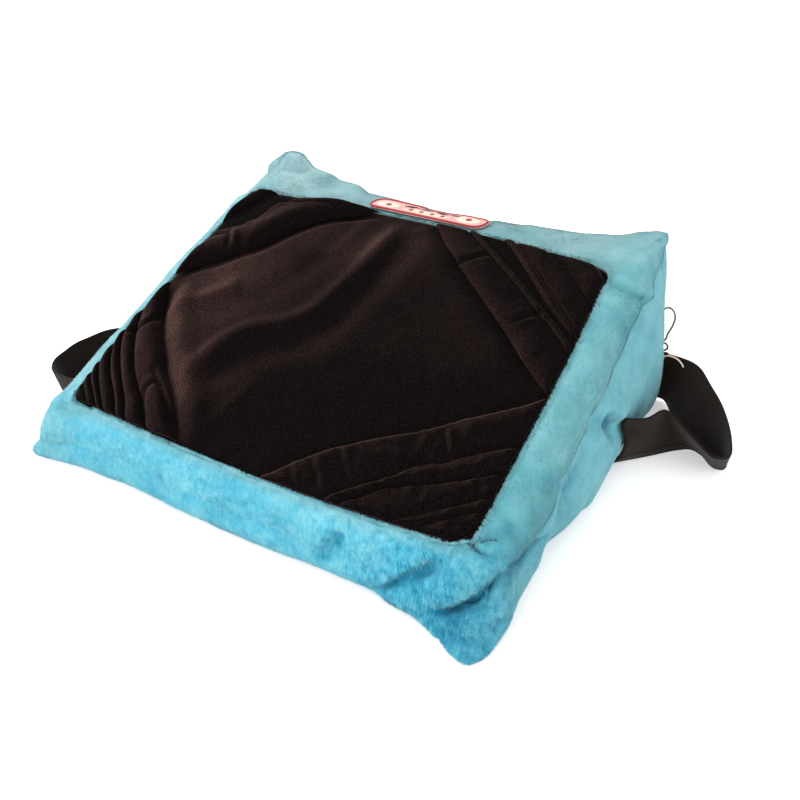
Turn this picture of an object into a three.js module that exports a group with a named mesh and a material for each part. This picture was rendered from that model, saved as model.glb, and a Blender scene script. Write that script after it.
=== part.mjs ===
// Tablet pillow: a filled wedge of short-pile plush on its flat base, with a brown panel let into the
// sloped face, a pleated pocket at each corner of the panel, a patch, two strap loops and a wire hook.
// Millimetres. X runs along the low front edge, Y towards the tall back and Z up.
// The origin is the middle of the flat base.
import * as THREE from 'three';
import { mergeVertices } from 'three/addons/utils/BufferGeometryUtils.js';

// Driving sizes of the case
const width = 330;
const depth = 262;
const frontHeight = 40;
const backHeight = 137;
const gap = 0.5;

// The face slopes from the front seam line to the back one
const slope = Math.atan2(backHeight - frontHeight, depth);
const faceLength = depth / Math.cos(slope);

// The brown panel on the face: middle, half sizes, and how far its edges bow outwards
const panel = {
  x: 2, t: 118, halfX: 145, halfT: 106, bowFront: 7, bowBack: 7, bowSide: 3,
  nearLeftPull: { x: -7, t: -2 },
  cornerRadius: 7, thickness: 2, liftFront: 3, liftBack: 10, liftReach: 80, crown: 10,
};

// How each side of the case bulges between the floor, its seam and the panel:
// baseIn is how far the flat base stops inside the seam line, low and high are the outward pull
// of the wall, seamOut moves the seam outwards at mid-side, drop lowers it there,
// rise and puff round the border between the seam and the panel
const sides = {
  right: { baseIn: 9, low: 29, high: 10, seamOut: 5, drop: 17, rise: 7, puff: 3 },
  left: { baseIn: 9, low: 25, high: 9, seamOut: 0, drop: 15, rise: 4, puff: -5 },
  front: { baseIn: 9, low: 13, high: 3, seamOut: 3, drop: 19, rise: 2, puff: 2 },
  back: { baseIn: 10, low: 16, high: 6, seamOut: -2, drop: 22, rise: 6, puff: -8 },
};

// The stuffed corners: which corner, how far the ear reaches out at its foot and at the seam,
// how wide it is, where its foot ends (0 floor, 1 seam), and how far it lifts the seam
const ears = [
  { name: 'near_right', x: 1, y: -1, foot: [2, -25], top: [0, -5], spread: 33, footEnd: 0.66, lift: 3 },
  { name: 'near_left', x: -1, y: -1, foot: [-25, -8], top: [-4, -1], spread: 24, footEnd: 0.8, lift: -7 },
  { name: 'far_right', x: 1, y: 1, foot: [13, 2], top: [5, 1], spread: 34, footEnd: 1, lift: 2 },
  { name: 'far_left', x: -1, y: 1, foot: [-6, 2], top: [22, 0], spread: 34, footEnd: 0.9, lift: 7 },
];

// Folds pressed into the case: two ends, half width and depth
const folds = [
  { name: 'front_corner_fold', from: [176, -84, 40], to: [150, -150, 34], halfWidth: 7, depth: 7 },
  { name: 'front_corner_tuck', from: [168, -104, 52], to: [110, -146, 30], halfWidth: 6, depth: 4 },
  { name: 'strap_pucker', from: [186, 52, 34], to: [172, 28, 40], halfWidth: 7, depth: 5 },
  { name: 'front_dimple', from: [70, -140, 26], to: [74, -134, 40], halfWidth: 7, depth: 3 },
  { name: 'waist_before_ear', from: [176, -60, 14], to: [176, -98, 16], halfWidth: 22, depth: 9 },
  { name: 'ear_side_swell', from: [118, -138, 12], to: [138, -144, 12], halfWidth: 18, depth: -5 },
];

// Soft wrinkles of the brown panel: two ends on the face (x, and t up the slope), half width and height
const wrinkles = [
  { name: 'low_left', from: [-72, 42], to: [-46, 106], halfWidth: 11, height: 2.2 },
  { name: 'left', from: [-118, 92], to: [-98, 128], halfWidth: 10, height: 1.8 },
  { name: 'middle', from: [-40, 62], to: [-4, 206], halfWidth: 13, height: 1.6 },
  { name: 'right', from: [44, 82], to: [66, 150], halfWidth: 12, height: 1.2 },
];

// The corner pockets: which corner, how far each reaches along the panel's edges as a share of the
// half side, how far the free edge bows towards the corner, the seams between its pleats as shares
// of the way to the corner, and how far the pleats stand up
const pockets = [
  { name: 'near_left', corner: [-1, -1], legs: [0.71, 1.01], bow: 8, seams: [0.3, 0.47, 0.58, 0.7], puff: 6 },
  { name: 'near_right', corner: [1, -1], legs: [0.89, 0.94], bow: 0, seams: [0.34, 0.48, 0.62, 0.78], puff: 5 },
  { name: 'far_right', corner: [1, 1], legs: [0.84, 1.02], bow: 0, seams: [0.25, 0.44, 0.66, 0.82], puff: 5 },
  { name: 'far_left', corner: [-1, 1], legs: [0.83, 0.9], bow: 10, seams: [0.32, 0.58, 0.8], puff: 6 },
];
const pocket = { thickness: 1.6, lift: 0.6, pointsAlong: 13, pointsPerPleat: 3, end: 0.93, edgeInset: 2.4 };

// The patch on the border above the panel
const patch = { x: 2, t: 245, halfX: 47, halfT: 11, cornerRadius: 8, thickness: 1.2, lift: 0.5 };

// Straps: stations of the webbing, either free in the air (top edge and foot) or lying on the wall
// at a point of the outline, where the case holds it
const webbingThickness = 1.6;
const straps = [
  {
    name: 'strap_right',
    stations: [
      { on: [1, 0.36] },
      { top: [190, 61, 38], foot: [195, 73, 1] },
      { top: [198, 78, 37], foot: [209, 88, 1] },
      { top: [211, 73, 32], foot: [218, 94, 1] },
      { top: [223, 66, 28], foot: [227, 90, 1] },
      { top: [237, 57, 26], foot: [236, 81, 1] },
      { top: [245, 62, 26], foot: [242, 82, 1] },
      { top: [242, 78, 30], foot: [241, 89, 1] },
      { top: [230, 104, 35], foot: [227, 98, 1] },
      { top: [217, 123, 38], foot: [208, 113, 1] },
      { top: [203, 140, 41], foot: [194, 131, 1] },
      { top: [186, 147, 40], foot: [182, 146, 2] },
      { on: [0.9, 1] },
      { on: [0.8, 1] },
    ],
  },
  {
    name: 'strap_left',
    stations: [
      { on: [-1, 0.08] },
      { top: [-203, -15, 36], foot: [-189, -12, 1] },
      { top: [-216, -29, 35], foot: [-199, -28, 1] },
      { top: [-219, -42, 35], foot: [-204, -42, 1] },
      { top: [-221, -54, 35], foot: [-206, -54, 1] },
      { top: [-219, -67, 35], foot: [-204, -66, 1] },
      { top: [-216, -79, 35], foot: [-199, -79, 1] },
      { top: [-203, -92, 36], foot: [-190, -92, 1] },
      { on: [-1, -0.76] },
    ],
  },
];
const strap = { low: 4, high: 42, lift: 1.05, pointsPerStation: 3, pointsAcross: 5 };

// The hook at the strap's far end: a tab, a small ring and a wire loop
const tab = { at: [178.4, 143.5, 39.4], halfX: 2.4, halfY: 0.8, halfZ: 3.6 };
const ring = { at: [176.4, 143.7, 47.3], radius: 3, wire: 0.8 };
const hook = {
  wire: 0.75,
  path: [
    [175, 143.7, 52.2],
    [177.8, 143.7, 59],
    [180, 143.7, 66.5],
    [180.3, 143.7, 73],
    [178, 143.7, 77.5],
    [174.5, 143.7, 78.8],
    [171.4, 143.7, 76],
    [170.4, 143.7, 69],
    [171.6, 143.7, 60],
  ],
};

// How finely the case is drawn
const pointsAcross = 26;
const pointsDeep = 22;
const wallSteps = [0, 0.12, 0.25, 0.4, 0.55, 0.7, 0.84, 0.94, 1];
const borderSteps = [0.07, 0.2, 0.36, 0.52, 0.68, 0.84, 1];
const seamGroove = 1.5;

// The panel lies in a bed a little wider than itself
const bedInset = 0.8;
const panelInset = 2;

const clamp = (value, low, high) => Math.min(high, Math.max(low, value));
const mix = (a, b, share) => a + (b - a) * share;
const smooth = (value) => {
  const s = clamp(value, 0, 1);
  return s * s * (3 - 2 * s);
};
const bezier = (a, b, c, d, s) => {
  const r = 1 - s;
  return r * r * r * a + 3 * r * r * s * b + 3 * r * s * s * c + s * s * s * d;
};

// Height of the flat slope at a depth y, and the two ways between the face and the frame
const slopeHeight = (y) => frontHeight + (y + depth / 2) * Math.tan(slope);
const faceToY = (t) => -depth / 2 + t * Math.cos(slope);
const yToFace = (y) => (y + depth / 2) / Math.cos(slope);

// Steps from -1 to 1 that are closer together near the ends
function spread(i, count) {
  const u = -1 + (2 * i) / count;
  return u * (1.25 - 0.25 * u * u);
}

// The square of points that runs round the case, anticlockwise from the near left corner
function roundTrip() {
  const trip = [];
  for (let i = 0; i < pointsAcross; i += 1) trip.push([spread(i, pointsAcross), -1]);
  for (let i = 0; i < pointsDeep; i += 1) trip.push([1, spread(i, pointsDeep)]);
  for (let i = 0; i < pointsAcross; i += 1) trip.push([-spread(i, pointsAcross), 1]);
  for (let i = 0; i < pointsDeep; i += 1) trip.push([-1, -spread(i, pointsDeep)]);
  return trip;
}

// A rounded rectangle's point and outward direction for a point of the square
function roundedPoint([qx, qy], halfX, halfY, radius) {
  const x = qx * halfX;
  const y = qy * halfY;
  const innerX = clamp(x, radius - halfX, halfX - radius);
  const innerY = clamp(y, radius - halfY, halfY - radius);
  const length = Math.hypot(x - innerX, y - innerY);
  const outX = (x - innerX) / length;
  const outY = (y - innerY) / length;
  return { x: innerX + radius * outX, y: innerY + radius * outY, outX, outY };
}

// How much each side has its say at a point of the square: half and half at a corner
function sideShares([qx, qy]) {
  const cornerZone = 0.22;
  const edge = 0.5 + 0.5 * smooth((1 - Math.min(Math.abs(qx), Math.abs(qy))) / cornerZone);
  const onSide = Math.abs(qx) >= Math.abs(qy);
  const across = onSide ? edge : 1 - edge;
  return {
    right: qx > 0 ? across : 0,
    left: qx > 0 ? 0 : across,
    back: qy > 0 ? 1 - across : 0,
    front: qy > 0 ? 0 : 1 - across,
  };
}

function blendSides(q) {
  const shares = sideShares(q);
  const blend = {};
  for (const key of Object.keys(sides.right)) {
    blend[key] = 0;
    for (const side of Object.keys(sides)) blend[key] += shares[side] * sides[side][key];
  }
  return { ...blend, shares };
}

// The seam line between the walls and the sloped face
function seamPoint(q) {
  const blend = blendSides(q);
  const along = Math.min(Math.abs(q[0]), Math.abs(q[1]));
  const middle = 1 - along ** 2.5;
  const p = roundedPoint(q, width / 2, depth / 2, 9);
  const x = p.x + p.outX * blend.seamOut * middle;
  const y = p.y + p.outY * blend.seamOut * middle;
  const drop = mix(blend.drop * middle, blend.drop, blend.shares.front * 2 > 1 ? 1 : 0);
  return { ...p, x, y, z: slopeHeight(y) - drop, blend };
}

// The panel's edge, bowed outwards, in the frame
function panelPoint(q, scale = 1, inset = 0) {
  const halfX = panel.halfX - inset;
  const halfT = panel.halfT - inset;
  const p = roundedPoint(q, halfX, halfT, panel.cornerRadius);
  const u = p.x / halfX;
  const v = p.y / halfT;
  const bowT = (v < 0 ? -panel.bowFront : panel.bowBack) * v * v * (1 - u * u);
  const bowX = panel.bowSide * Math.sign(u) * u * u * (1 - v * v);
  const pull = (Math.max(0, -u) * Math.max(0, -v)) ** 2;
  const x = panel.x + (p.x + bowX + panel.nearLeftPull.x * pull) * scale;
  const t = panel.t + (p.y + bowT + panel.nearLeftPull.t * pull) * scale;
  return { x, y: faceToY(t) };
}

// How far the stuffing lifts the panel's edge above the slope: less at the front
const edgeLift = (y) => mix(panel.liftFront, panel.liftBack, smooth(yToFace(y) / panel.liftReach));

// Height of the face inside the panel's edge
function faceHeight(x, y) {
  const u = clamp(Math.abs(x - panel.x) / panel.halfX, 0, 1);
  const v = clamp(Math.abs(yToFace(y) - panel.t) / panel.halfT, 0, 1);
  return slopeHeight(y) + edgeLift(y) + panel.crown * (1 - u ** 2.2) * (1 - v ** 2.2);
}

// Height of the soft wrinkles, which die out towards the panel's edge
function wrinkleHeight(x, y) {
  const p = new THREE.Vector3(x, yToFace(y), 0);
  let height = 0;
  for (const { from, to, halfWidth, height: most } of wrinkles) {
    const ends = [new THREE.Vector3(...from, 0), new THREE.Vector3(...to, 0)];
    const nearest = new THREE.Line3(...ends).closestPointToPoint(p, true, new THREE.Vector3());
    height += most * Math.exp(-((nearest.distanceTo(p) / halfWidth) ** 2));
  }
  return height;
}

// A point of the face at a point of the square, sunk below the panel's top (or raised, if negative)
function facePoint(qx, qy, inset, sink, wrinkled = true) {
  const size = Math.max(Math.abs(qx), Math.abs(qy));
  const p = panelPoint(size === 0 ? [1, 0] : [qx / size, qy / size], size, inset);
  const height = faceHeight(p.x, p.y) + (wrinkled ? wrinkleHeight(p.x, p.y) : 0);
  return new THREE.Vector3(p.x, p.y, height - sink);
}

// Distance from a point to a straight fold
function foldDistance(p, { from, to }) {
  const a = new THREE.Vector3(...from);
  const b = new THREE.Vector3(...to);
  const nearest = new THREE.Line3(a, b).closestPointToPoint(p, true, new THREE.Vector3());
  return nearest.distanceTo(p);
}

// Ears and folds moved onto a point of the case's side, which faces outwards along (outX, outY)
function shapeCorners(p, q, share, outX, outY) {
  for (const ear of ears) {
    const away = Math.hypot((q[0] - ear.x) * width / 2, (q[1] - ear.y) * depth / 2);
    const near = Math.exp(-((away / ear.spread) ** 2));
    const upper = smooth(share / ear.footEnd);
    const fade = clamp(2 - share, 0, 1);
    p.x += near * mix(ear.foot[0], ear.top[0] * fade, upper);
    p.y += near * mix(ear.foot[1], ear.top[1] * fade, upper);
    p.z += near * ear.lift * share ** 2 * fade;
  }
  for (const fold of folds) {
    const press = fold.depth * Math.exp(-((foldDistance(p, fold) / fold.halfWidth) ** 2));
    p.x -= outX * press;
    p.y -= outY * press;
    p.z -= press * 0.3 * (share > 1 ? 1 : 0);
  }
  return p;
}

// A point of the wall, from the floor (0) to the seam (1)
function wallPoint(q, share) {
  const seam = seamPoint(q);
  const { baseIn, low, high } = seam.blend;
  const baseX = seam.x - seam.outX * baseIn;
  const baseY = seam.y - seam.outY * baseIn;
  const groove = share === 1 ? seamGroove * (1 - 2 * Math.max(0, seam.blend.shares.front - 0.5)) : 0;
  const out = bezier(-baseIn, low - baseIn, high, 0, share) - groove;
  const p = new THREE.Vector3(
    baseX + seam.outX * (out + baseIn),
    baseY + seam.outY * (out + baseIn),
    bezier(0, 0, seam.z * 0.5, seam.z, share),
  );
  shapeCorners(p, q, share, seam.outX, seam.outY);
  return share === 0 ? p.setZ(0) : p;
}

// A point of the border, from just above the seam (0) to the panel's edge (1)
function borderPoint(q, share) {
  const seam = seamPoint(q);
  const edge = panelPoint(q);
  const { rise, puff } = seam.blend;
  const halfway = { x: mix(seam.x, edge.x, 0.5), y: mix(seam.y, edge.y, 0.5) };
  const edgeZ = faceHeight(edge.x, edge.y);
  const shoulderZ = slopeHeight(halfway.y) + edgeLift(halfway.y) + puff;
  const riseZ = seam.z + 0.62 * (slopeHeight(seam.y) + edgeLift(seam.y) + Math.min(0, puff) - seam.z);
  const p = new THREE.Vector3(
    bezier(seam.x, seam.x + seam.outX * rise, halfway.x, edge.x, share),
    bezier(seam.y, seam.y + seam.outY * rise, halfway.y, edge.y, share),
    bezier(seam.z, riseZ, shoulderZ, edgeZ, share),
  );
  return shapeCorners(p, q, 1 + share, seam.outX, seam.outY);
}

// A closed mesh from rings of points, closed by a point below and by a grid of points on top
function basinSolid(rings, bottom, grid) {
  const count = rings[0].length;
  const points = [bottom, ...rings.flat(), ...grid.flat()];
  const at = (ring, i) => 1 + ring * count + (i % count);
  const gridAt = (j, i) => 1 + rings.length * count + j * (pointsAcross + 1) + i;
  const rim = [];
  for (let i = 0; i < pointsAcross; i += 1) rim.push(gridAt(0, i));
  for (let j = 0; j < pointsDeep; j += 1) rim.push(gridAt(j, pointsAcross));
  for (let i = pointsAcross; i > 0; i -= 1) rim.push(gridAt(pointsDeep, i));
  for (let j = pointsDeep; j > 0; j -= 1) rim.push(gridAt(j, 0));
  const faces = [];
  const quad = (a, b, c, d) => faces.push(a, b, c, a, c, d);
  for (let i = 0; i < count; i += 1) faces.push(0, at(0, i + 1), at(0, i));
  for (let ring = 0; ring < rings.length - 1; ring += 1) {
    for (let i = 0; i < count; i += 1) {
      quad(at(ring, i), at(ring, i + 1), at(ring + 1, i + 1), at(ring + 1, i));
    }
  }
  const last = rings.length - 1;
  for (let i = 0; i < count; i += 1) quad(at(last, i), at(last, i + 1), rim[(i + 1) % count], rim[i]);
  for (let j = 0; j < pointsDeep; j += 1) {
    for (let i = 0; i < pointsAcross; i += 1) {
      quad(gridAt(j, i), gridAt(j, i + 1), gridAt(j + 1, i + 1), gridAt(j + 1, i));
    }
  }
  return closedGeometry(points, faces);
}

function closedGeometry(points, faces) {
  const geometry = new THREE.BufferGeometry();
  const numbers = points.flatMap((p) => [p.x, p.y, p.z]);
  geometry.setAttribute('position', new THREE.Float32BufferAttribute(numbers, 3));
  geometry.setIndex(faces);
  return geometry;
}

// A sheet from a grid of points and its outward directions: two skins and a rim
function sheetSolid(lower, upper) {
  const rows = lower.length;
  const columns = lower[0].length;
  const points = [...lower.flat(), ...upper.flat()];
  const low = (i, j) => i * columns + j;
  const high = (i, j) => rows * columns + i * columns + j;
  const faces = [];
  const quad = (a, b, c, d) => faces.push(a, b, c, a, c, d);
  for (let i = 0; i < rows - 1; i += 1) {
    for (let j = 0; j < columns - 1; j += 1) {
      quad(high(i, j), high(i, j + 1), high(i + 1, j + 1), high(i + 1, j));
      quad(low(i, j), low(i + 1, j), low(i + 1, j + 1), low(i, j + 1));
    }
  }
  for (let j = 0; j < columns - 1; j += 1) {
    quad(low(0, j), low(0, j + 1), high(0, j + 1), high(0, j));
    quad(low(rows - 1, j + 1), low(rows - 1, j), high(rows - 1, j), high(rows - 1, j + 1));
  }
  for (let i = 0; i < rows - 1; i += 1) {
    quad(low(i + 1, 0), low(i, 0), high(i, 0), high(i + 1, 0));
    quad(low(i, columns - 1), low(i + 1, columns - 1), high(i + 1, columns - 1), high(i, columns - 1));
  }
  return closedGeometry(points, faces);
}

function finish(color, roughness, metalness = 0) {
  return new THREE.MeshStandardMaterial({ color, roughness, metalness });
}
const bluePlush = finish('#5fbfd6', 0.95);
const brownPlush = finish('#2e2120', 0.95);
const webbing = finish('#1c1816', 0.8);
const pinkThread = finish('#f0c9c0', 0.8);
const darkSteel = finish('#5d544d', 0.4, 1);

const pillow = new THREE.Group();
function addPiece(name, geometry, material) {
  geometry.deleteAttribute('normal');
  geometry.deleteAttribute('uv');
  const mesh = new THREE.Mesh(mergeVertices(geometry, 1e-4), material);
  mesh.name = name;
  pillow.add(mesh);
}

// A grid of points over the panel's bed or over one of its skins
function panelGrid(inset, sink, reach = 1) {
  const rows = [];
  for (let j = 0; j <= pointsDeep; j += 1) {
    const row = [];
    for (let i = 0; i <= pointsAcross; i += 1) {
      row.push(facePoint(spread(i, pointsAcross) * reach, spread(j, pointsDeep) * reach, inset, sink));
    }
    rows.push(row);
  }
  return rows;
}

// The filled case, with a shallow bed for the panel
function caseSolid() {
  const trip = roundTrip();
  const bed = panelGrid(bedInset, gap + panel.thickness);
  const rings = [];
  for (const share of wallSteps) rings.push(trip.map((q) => wallPoint(q, share)));
  for (const share of borderSteps) rings.push(trip.map((q) => borderPoint(q, share)));
  return basinSolid(rings, new THREE.Vector3(0, 0, 0), bed);
}

const panelSolid = () => sheetSolid(panelGrid(panelInset, panel.thickness), panelGrid(panelInset, 0));

// How far the pleats stand up at steps from a pocket's free edge (0) to its corner
function pleatSteps({ seams, puff }) {
  const ends = [0, ...seams, pocket.end];
  const steps = [];
  for (let k = 0; k < ends.length - 1; k += 1) {
    const size = puff * Math.min(1, (ends[k + 1] - ends[k]) * 4);
    const early = k === 0 ? 0.9 : 0;
    for (let s = 0; s < pocket.pointsPerPleat; s += 1) {
      const rise = Math.sin((Math.PI * (s + early)) / (pocket.pointsPerPleat + early));
      steps.push({ share: mix(ends[k], ends[k + 1], s / pocket.pointsPerPleat), height: size * rise ** 0.7 });
    }
  }
  steps.push({ share: pocket.end, height: 0 });
  return steps;
}

// A pocket: pleats that follow its free edge, from the edge to the corner
function pocketSolid(item) {
  const [cornerX, cornerY] = item.corner;
  const skin = (over) => pleatSteps(item).map(({ share, height }) => {
    const row = [];
    for (let i = 0; i <= pocket.pointsAlong; i += 1) {
      const along = i / pocket.pointsAlong;
      const hump = Math.sin(Math.PI * along);
      const bow = item.bow * hump * (1 - share);
      const reachX = item.legs[0] * (1 - share) * (1 - along) - bow / panel.halfX;
      const reachY = item.legs[1] * (1 - share) * along - bow / panel.halfT;
      const stand = pocket.lift + height * hump ** 0.5 + over;
      row.push(facePoint(cornerX * (1 - reachX), cornerY * (1 - reachY), pocket.edgeInset, -stand, false));
    }
    return cornerX * cornerY > 0 ? row : row.reverse();
  });
  return sheetSolid(skin(0), skin(pocket.thickness));
}

// The patch lies on the border above the panel
function patchSolid() {
  const across = 16;
  const up = 4;
  const skin = (over) => {
    const rows = [];
    for (let j = 0; j <= up; j += 1) {
      const row = [];
      for (let i = 0; i <= across; i += 1) {
        const q = [-1 + (2 * i) / across, -1 + (2 * j) / up];
        const size = Math.max(Math.abs(q[0]), Math.abs(q[1]));
        const edge = size === 0 ? [1, 0] : [q[0] / size, q[1] / size];
        const p = roundedPoint(edge, patch.halfX, patch.halfT, patch.cornerRadius);
        row.push(onBorder(patch.x + p.x * size, faceToY(patch.t + p.y * size), patch.lift + over));
      }
      rows.push(row);
    }
    return rows;
  };
  return sheetSolid(skin(0), skin(patch.thickness));
}

// The border point above a plan position, pushed out along the border's own direction
function onBorder(x, y, lift) {
  const qx = clamp((x - panel.x) / (width / 2), -0.9, 0.9);
  let [low, high] = [0, 1];
  for (let step = 0; step < 24; step += 1) {
    const middle = (low + high) / 2;
    if (borderPoint([qx, 1], middle).y > y) low = middle;
    else high = middle;
  }
  const here = borderPoint([qx, 1], low);
  const up = borderPoint([qx, 1], low - 0.02).sub(here);
  const side = borderPoint([qx + 0.02, 1], low).sub(here);
  const out = side.cross(up).normalize();
  return here.setX(x).addScaledVector(out, lift);
}

// The wall point at a height, pushed out from the wall
function onWall(q, height, lift) {
  let [low, high] = [0, 1];
  for (let step = 0; step < 24; step += 1) {
    const middle = (low + high) / 2;
    if (wallPoint(q, middle).z < height) low = middle;
    else high = middle;
  }
  const seam = seamPoint(q);
  const p = wallPoint(q, low);
  return p.set(p.x + seam.outX * lift, p.y + seam.outY * lift, height);
}

// A strap: webbing swept through its stations
function strapSolid({ stations }) {
  const samples = (stations.length - 1) * strap.pointsPerStation;
  const offWall = strap.lift + webbingThickness / 2;
  const rows = Array.from({ length: samples + 1 }, () => []);
  for (let k = 0; k < strap.pointsAcross; k += 1) {
    const f = k / (strap.pointsAcross - 1);
    const points = stations.map((station) => {
      if (station.on) return onWall(station.on, mix(strap.low, strap.high, f), offWall);
      return new THREE.Vector3(...station.foot).lerp(new THREE.Vector3(...station.top), f);
    });
    const curve = new THREE.CatmullRomCurve3(points, false, 'centripetal');
    for (let s = 0; s <= samples; s += 1) rows[s].push(curve.getPoint(s / samples));
  }
  const skin = (over) => rows.map((row, s) => row.map((p, k) => {
    const along = rows[Math.min(s + 1, samples)][k].clone().sub(rows[Math.max(s - 1, 0)][k]);
    const across = row[Math.min(k + 1, row.length - 1)].clone().sub(row[Math.max(k - 1, 0)]);
    return p.clone().addScaledVector(along.cross(across).normalize(), over);
  }));
  return sheetSolid(skin(webbingThickness / 2), skin(-webbingThickness / 2));
}

addPiece('cushion', caseSolid(), bluePlush);
addPiece('centre_panel', panelSolid(), brownPlush);
for (const item of pockets) addPiece(`pocket_${item.name}`, pocketSolid(item), brownPlush);
addPiece('patch', patchSolid(), pinkThread);
for (const item of straps) addPiece(item.name, strapSolid(item), webbing);

const tabShape = new THREE.BoxGeometry(2 * tab.halfX, 2 * tab.halfY, 2 * tab.halfZ);
addPiece('hook_tab', tabShape.translate(...tab.at), webbing);
const ringShape = new THREE.TorusGeometry(ring.radius, ring.wire, 8, 20);
addPiece('hook_ring', ringShape.rotateX(Math.PI / 2).translate(...ring.at), darkSteel);
const hookCurve = new THREE.CatmullRomCurve3(hook.path.map((p) => new THREE.Vector3(...p)), true);
addPiece('hook_wire', new THREE.TubeGeometry(hookCurve, 32, hook.wire, 8, true), darkSteel);

export default pillow;
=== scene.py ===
import math
import bpy
import numpy as np
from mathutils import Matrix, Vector
from mathutils.bvhtree import BVHTree


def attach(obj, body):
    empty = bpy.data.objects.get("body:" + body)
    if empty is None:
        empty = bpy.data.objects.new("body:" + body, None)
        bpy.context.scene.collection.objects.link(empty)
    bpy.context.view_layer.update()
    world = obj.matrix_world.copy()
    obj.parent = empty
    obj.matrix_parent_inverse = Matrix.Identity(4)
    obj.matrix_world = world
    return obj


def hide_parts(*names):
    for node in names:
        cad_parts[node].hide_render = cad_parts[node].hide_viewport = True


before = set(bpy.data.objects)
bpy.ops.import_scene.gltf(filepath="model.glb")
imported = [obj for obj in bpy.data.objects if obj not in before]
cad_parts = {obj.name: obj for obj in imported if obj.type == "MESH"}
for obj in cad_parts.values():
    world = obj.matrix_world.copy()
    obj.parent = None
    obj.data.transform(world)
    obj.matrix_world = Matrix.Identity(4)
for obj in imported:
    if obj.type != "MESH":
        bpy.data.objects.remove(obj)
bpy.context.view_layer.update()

MM = 0.001
SEED = 7

# Driving sizes of the case, in millimetres
WIDTH = 330
DEPTH = 262
FRONT_HEIGHT = 40
BACK_HEIGHT = 137
CORNER_RADIUS = 9
SLOPE = math.atan2(BACK_HEIGHT - FRONT_HEIGHT, DEPTH)
FACE_UP = np.array([0, -math.sin(SLOPE), math.cos(SLOPE)])

# The brown panel on the face: middle, half sizes, and how far its edges bow outwards
PANEL = dict(
    x=2, t=118, half_x=145, half_t=106, bow_front=7, bow_back=7, bow_side=3,
    near_left_x=-7, near_left_t=-2, radius=7, lift_front=3, lift_back=10, lift_reach=80, crown=10,
)

# How each side of the case bulges between the floor, its seam and the panel
SIDES = dict(
    right=dict(base_in=9, low=29, high=10, seam_out=5, drop=17, rise=7, puff=3),
    left=dict(base_in=9, low=25, high=9, seam_out=0, drop=15, rise=4, puff=-5),
    front=dict(base_in=9, low=13, high=3, seam_out=3, drop=19, rise=2, puff=2),
    back=dict(base_in=10, low=16, high=6, seam_out=-2, drop=22, rise=6, puff=-8),
)

# The stuffed corners: corner, how far the ear reaches at its foot and at the seam, its width,
# where its foot ends, and how far it lifts the seam
EARS = [
    dict(x=1, y=-1, foot=(2, -25), top=(0, -5), spread=33, foot_end=0.66, lift=3),
    dict(x=-1, y=-1, foot=(-25, -8), top=(-4, -1), spread=24, foot_end=0.8, lift=-7),
    dict(x=1, y=1, foot=(13, 2), top=(5, 1), spread=34, foot_end=1, lift=2),
    dict(x=-1, y=1, foot=(-6, 2), top=(22, 0), spread=34, foot_end=0.9, lift=7),
]

# Folds pressed into the case: a line of points, half width and depth (less than 0 is a swell)
FOLDS = [
    dict(line=[(176, -84, 40), (150, -150, 34)], half_width=7, depth=7),
    dict(line=[(168, -104, 52), (110, -146, 30)], half_width=6, depth=4),
    dict(line=[(186, 52, 34), (172, 28, 40)], half_width=7, depth=5),
    dict(line=[(70, -140, 26), (74, -134, 40)], half_width=7, depth=3),
    dict(line=[(176, -60, 14), (176, -98, 16)], half_width=22, depth=9),
    dict(line=[(118, -138, 12), (138, -144, 12)], half_width=18, depth=-5),
]

# How finely the case is drawn: points along each side, and rings from floor to seam to panel
SIDE_POINTS = dict(front=330, right=230, back=150, left=120)
WALL_STEPS = 50
BORDER_STEPS = 30
LAST_RING = WALL_STEPS + BORDER_STEPS

# The bed under the panel: rings as shares of its outline, and how far below its top they lie
BED = [(1, 1.4), (0.99, 6), (0.95, 9), (0.8, 9), (0.6, 9), (0.4, 9), (0.2, 9)]

# The side seam's groove: depth, reach on the wall and the border, and how far from the near right
# corner it ends
GROOVE = dict(depth=1.3, wall=0.03, border=0.05, corner=60, fade=30)


def crease(line, width, depth, ridge=0, at=5, over=0, shade=1):
    """A crease: its line, half width and depth (less than 0 is a swell), the height of the lobe on
    its left side, how far off that lies, how far it hangs over, and how dark the painted shade in the
    crease is. A line on the face has no heights and gets 0."""
    line = [(*spot, 0)[:3] for spot in line]
    return dict(line=line, width=width, depth=depth, ridge=ridge, at=at, over=over, shade=shade)


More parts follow.
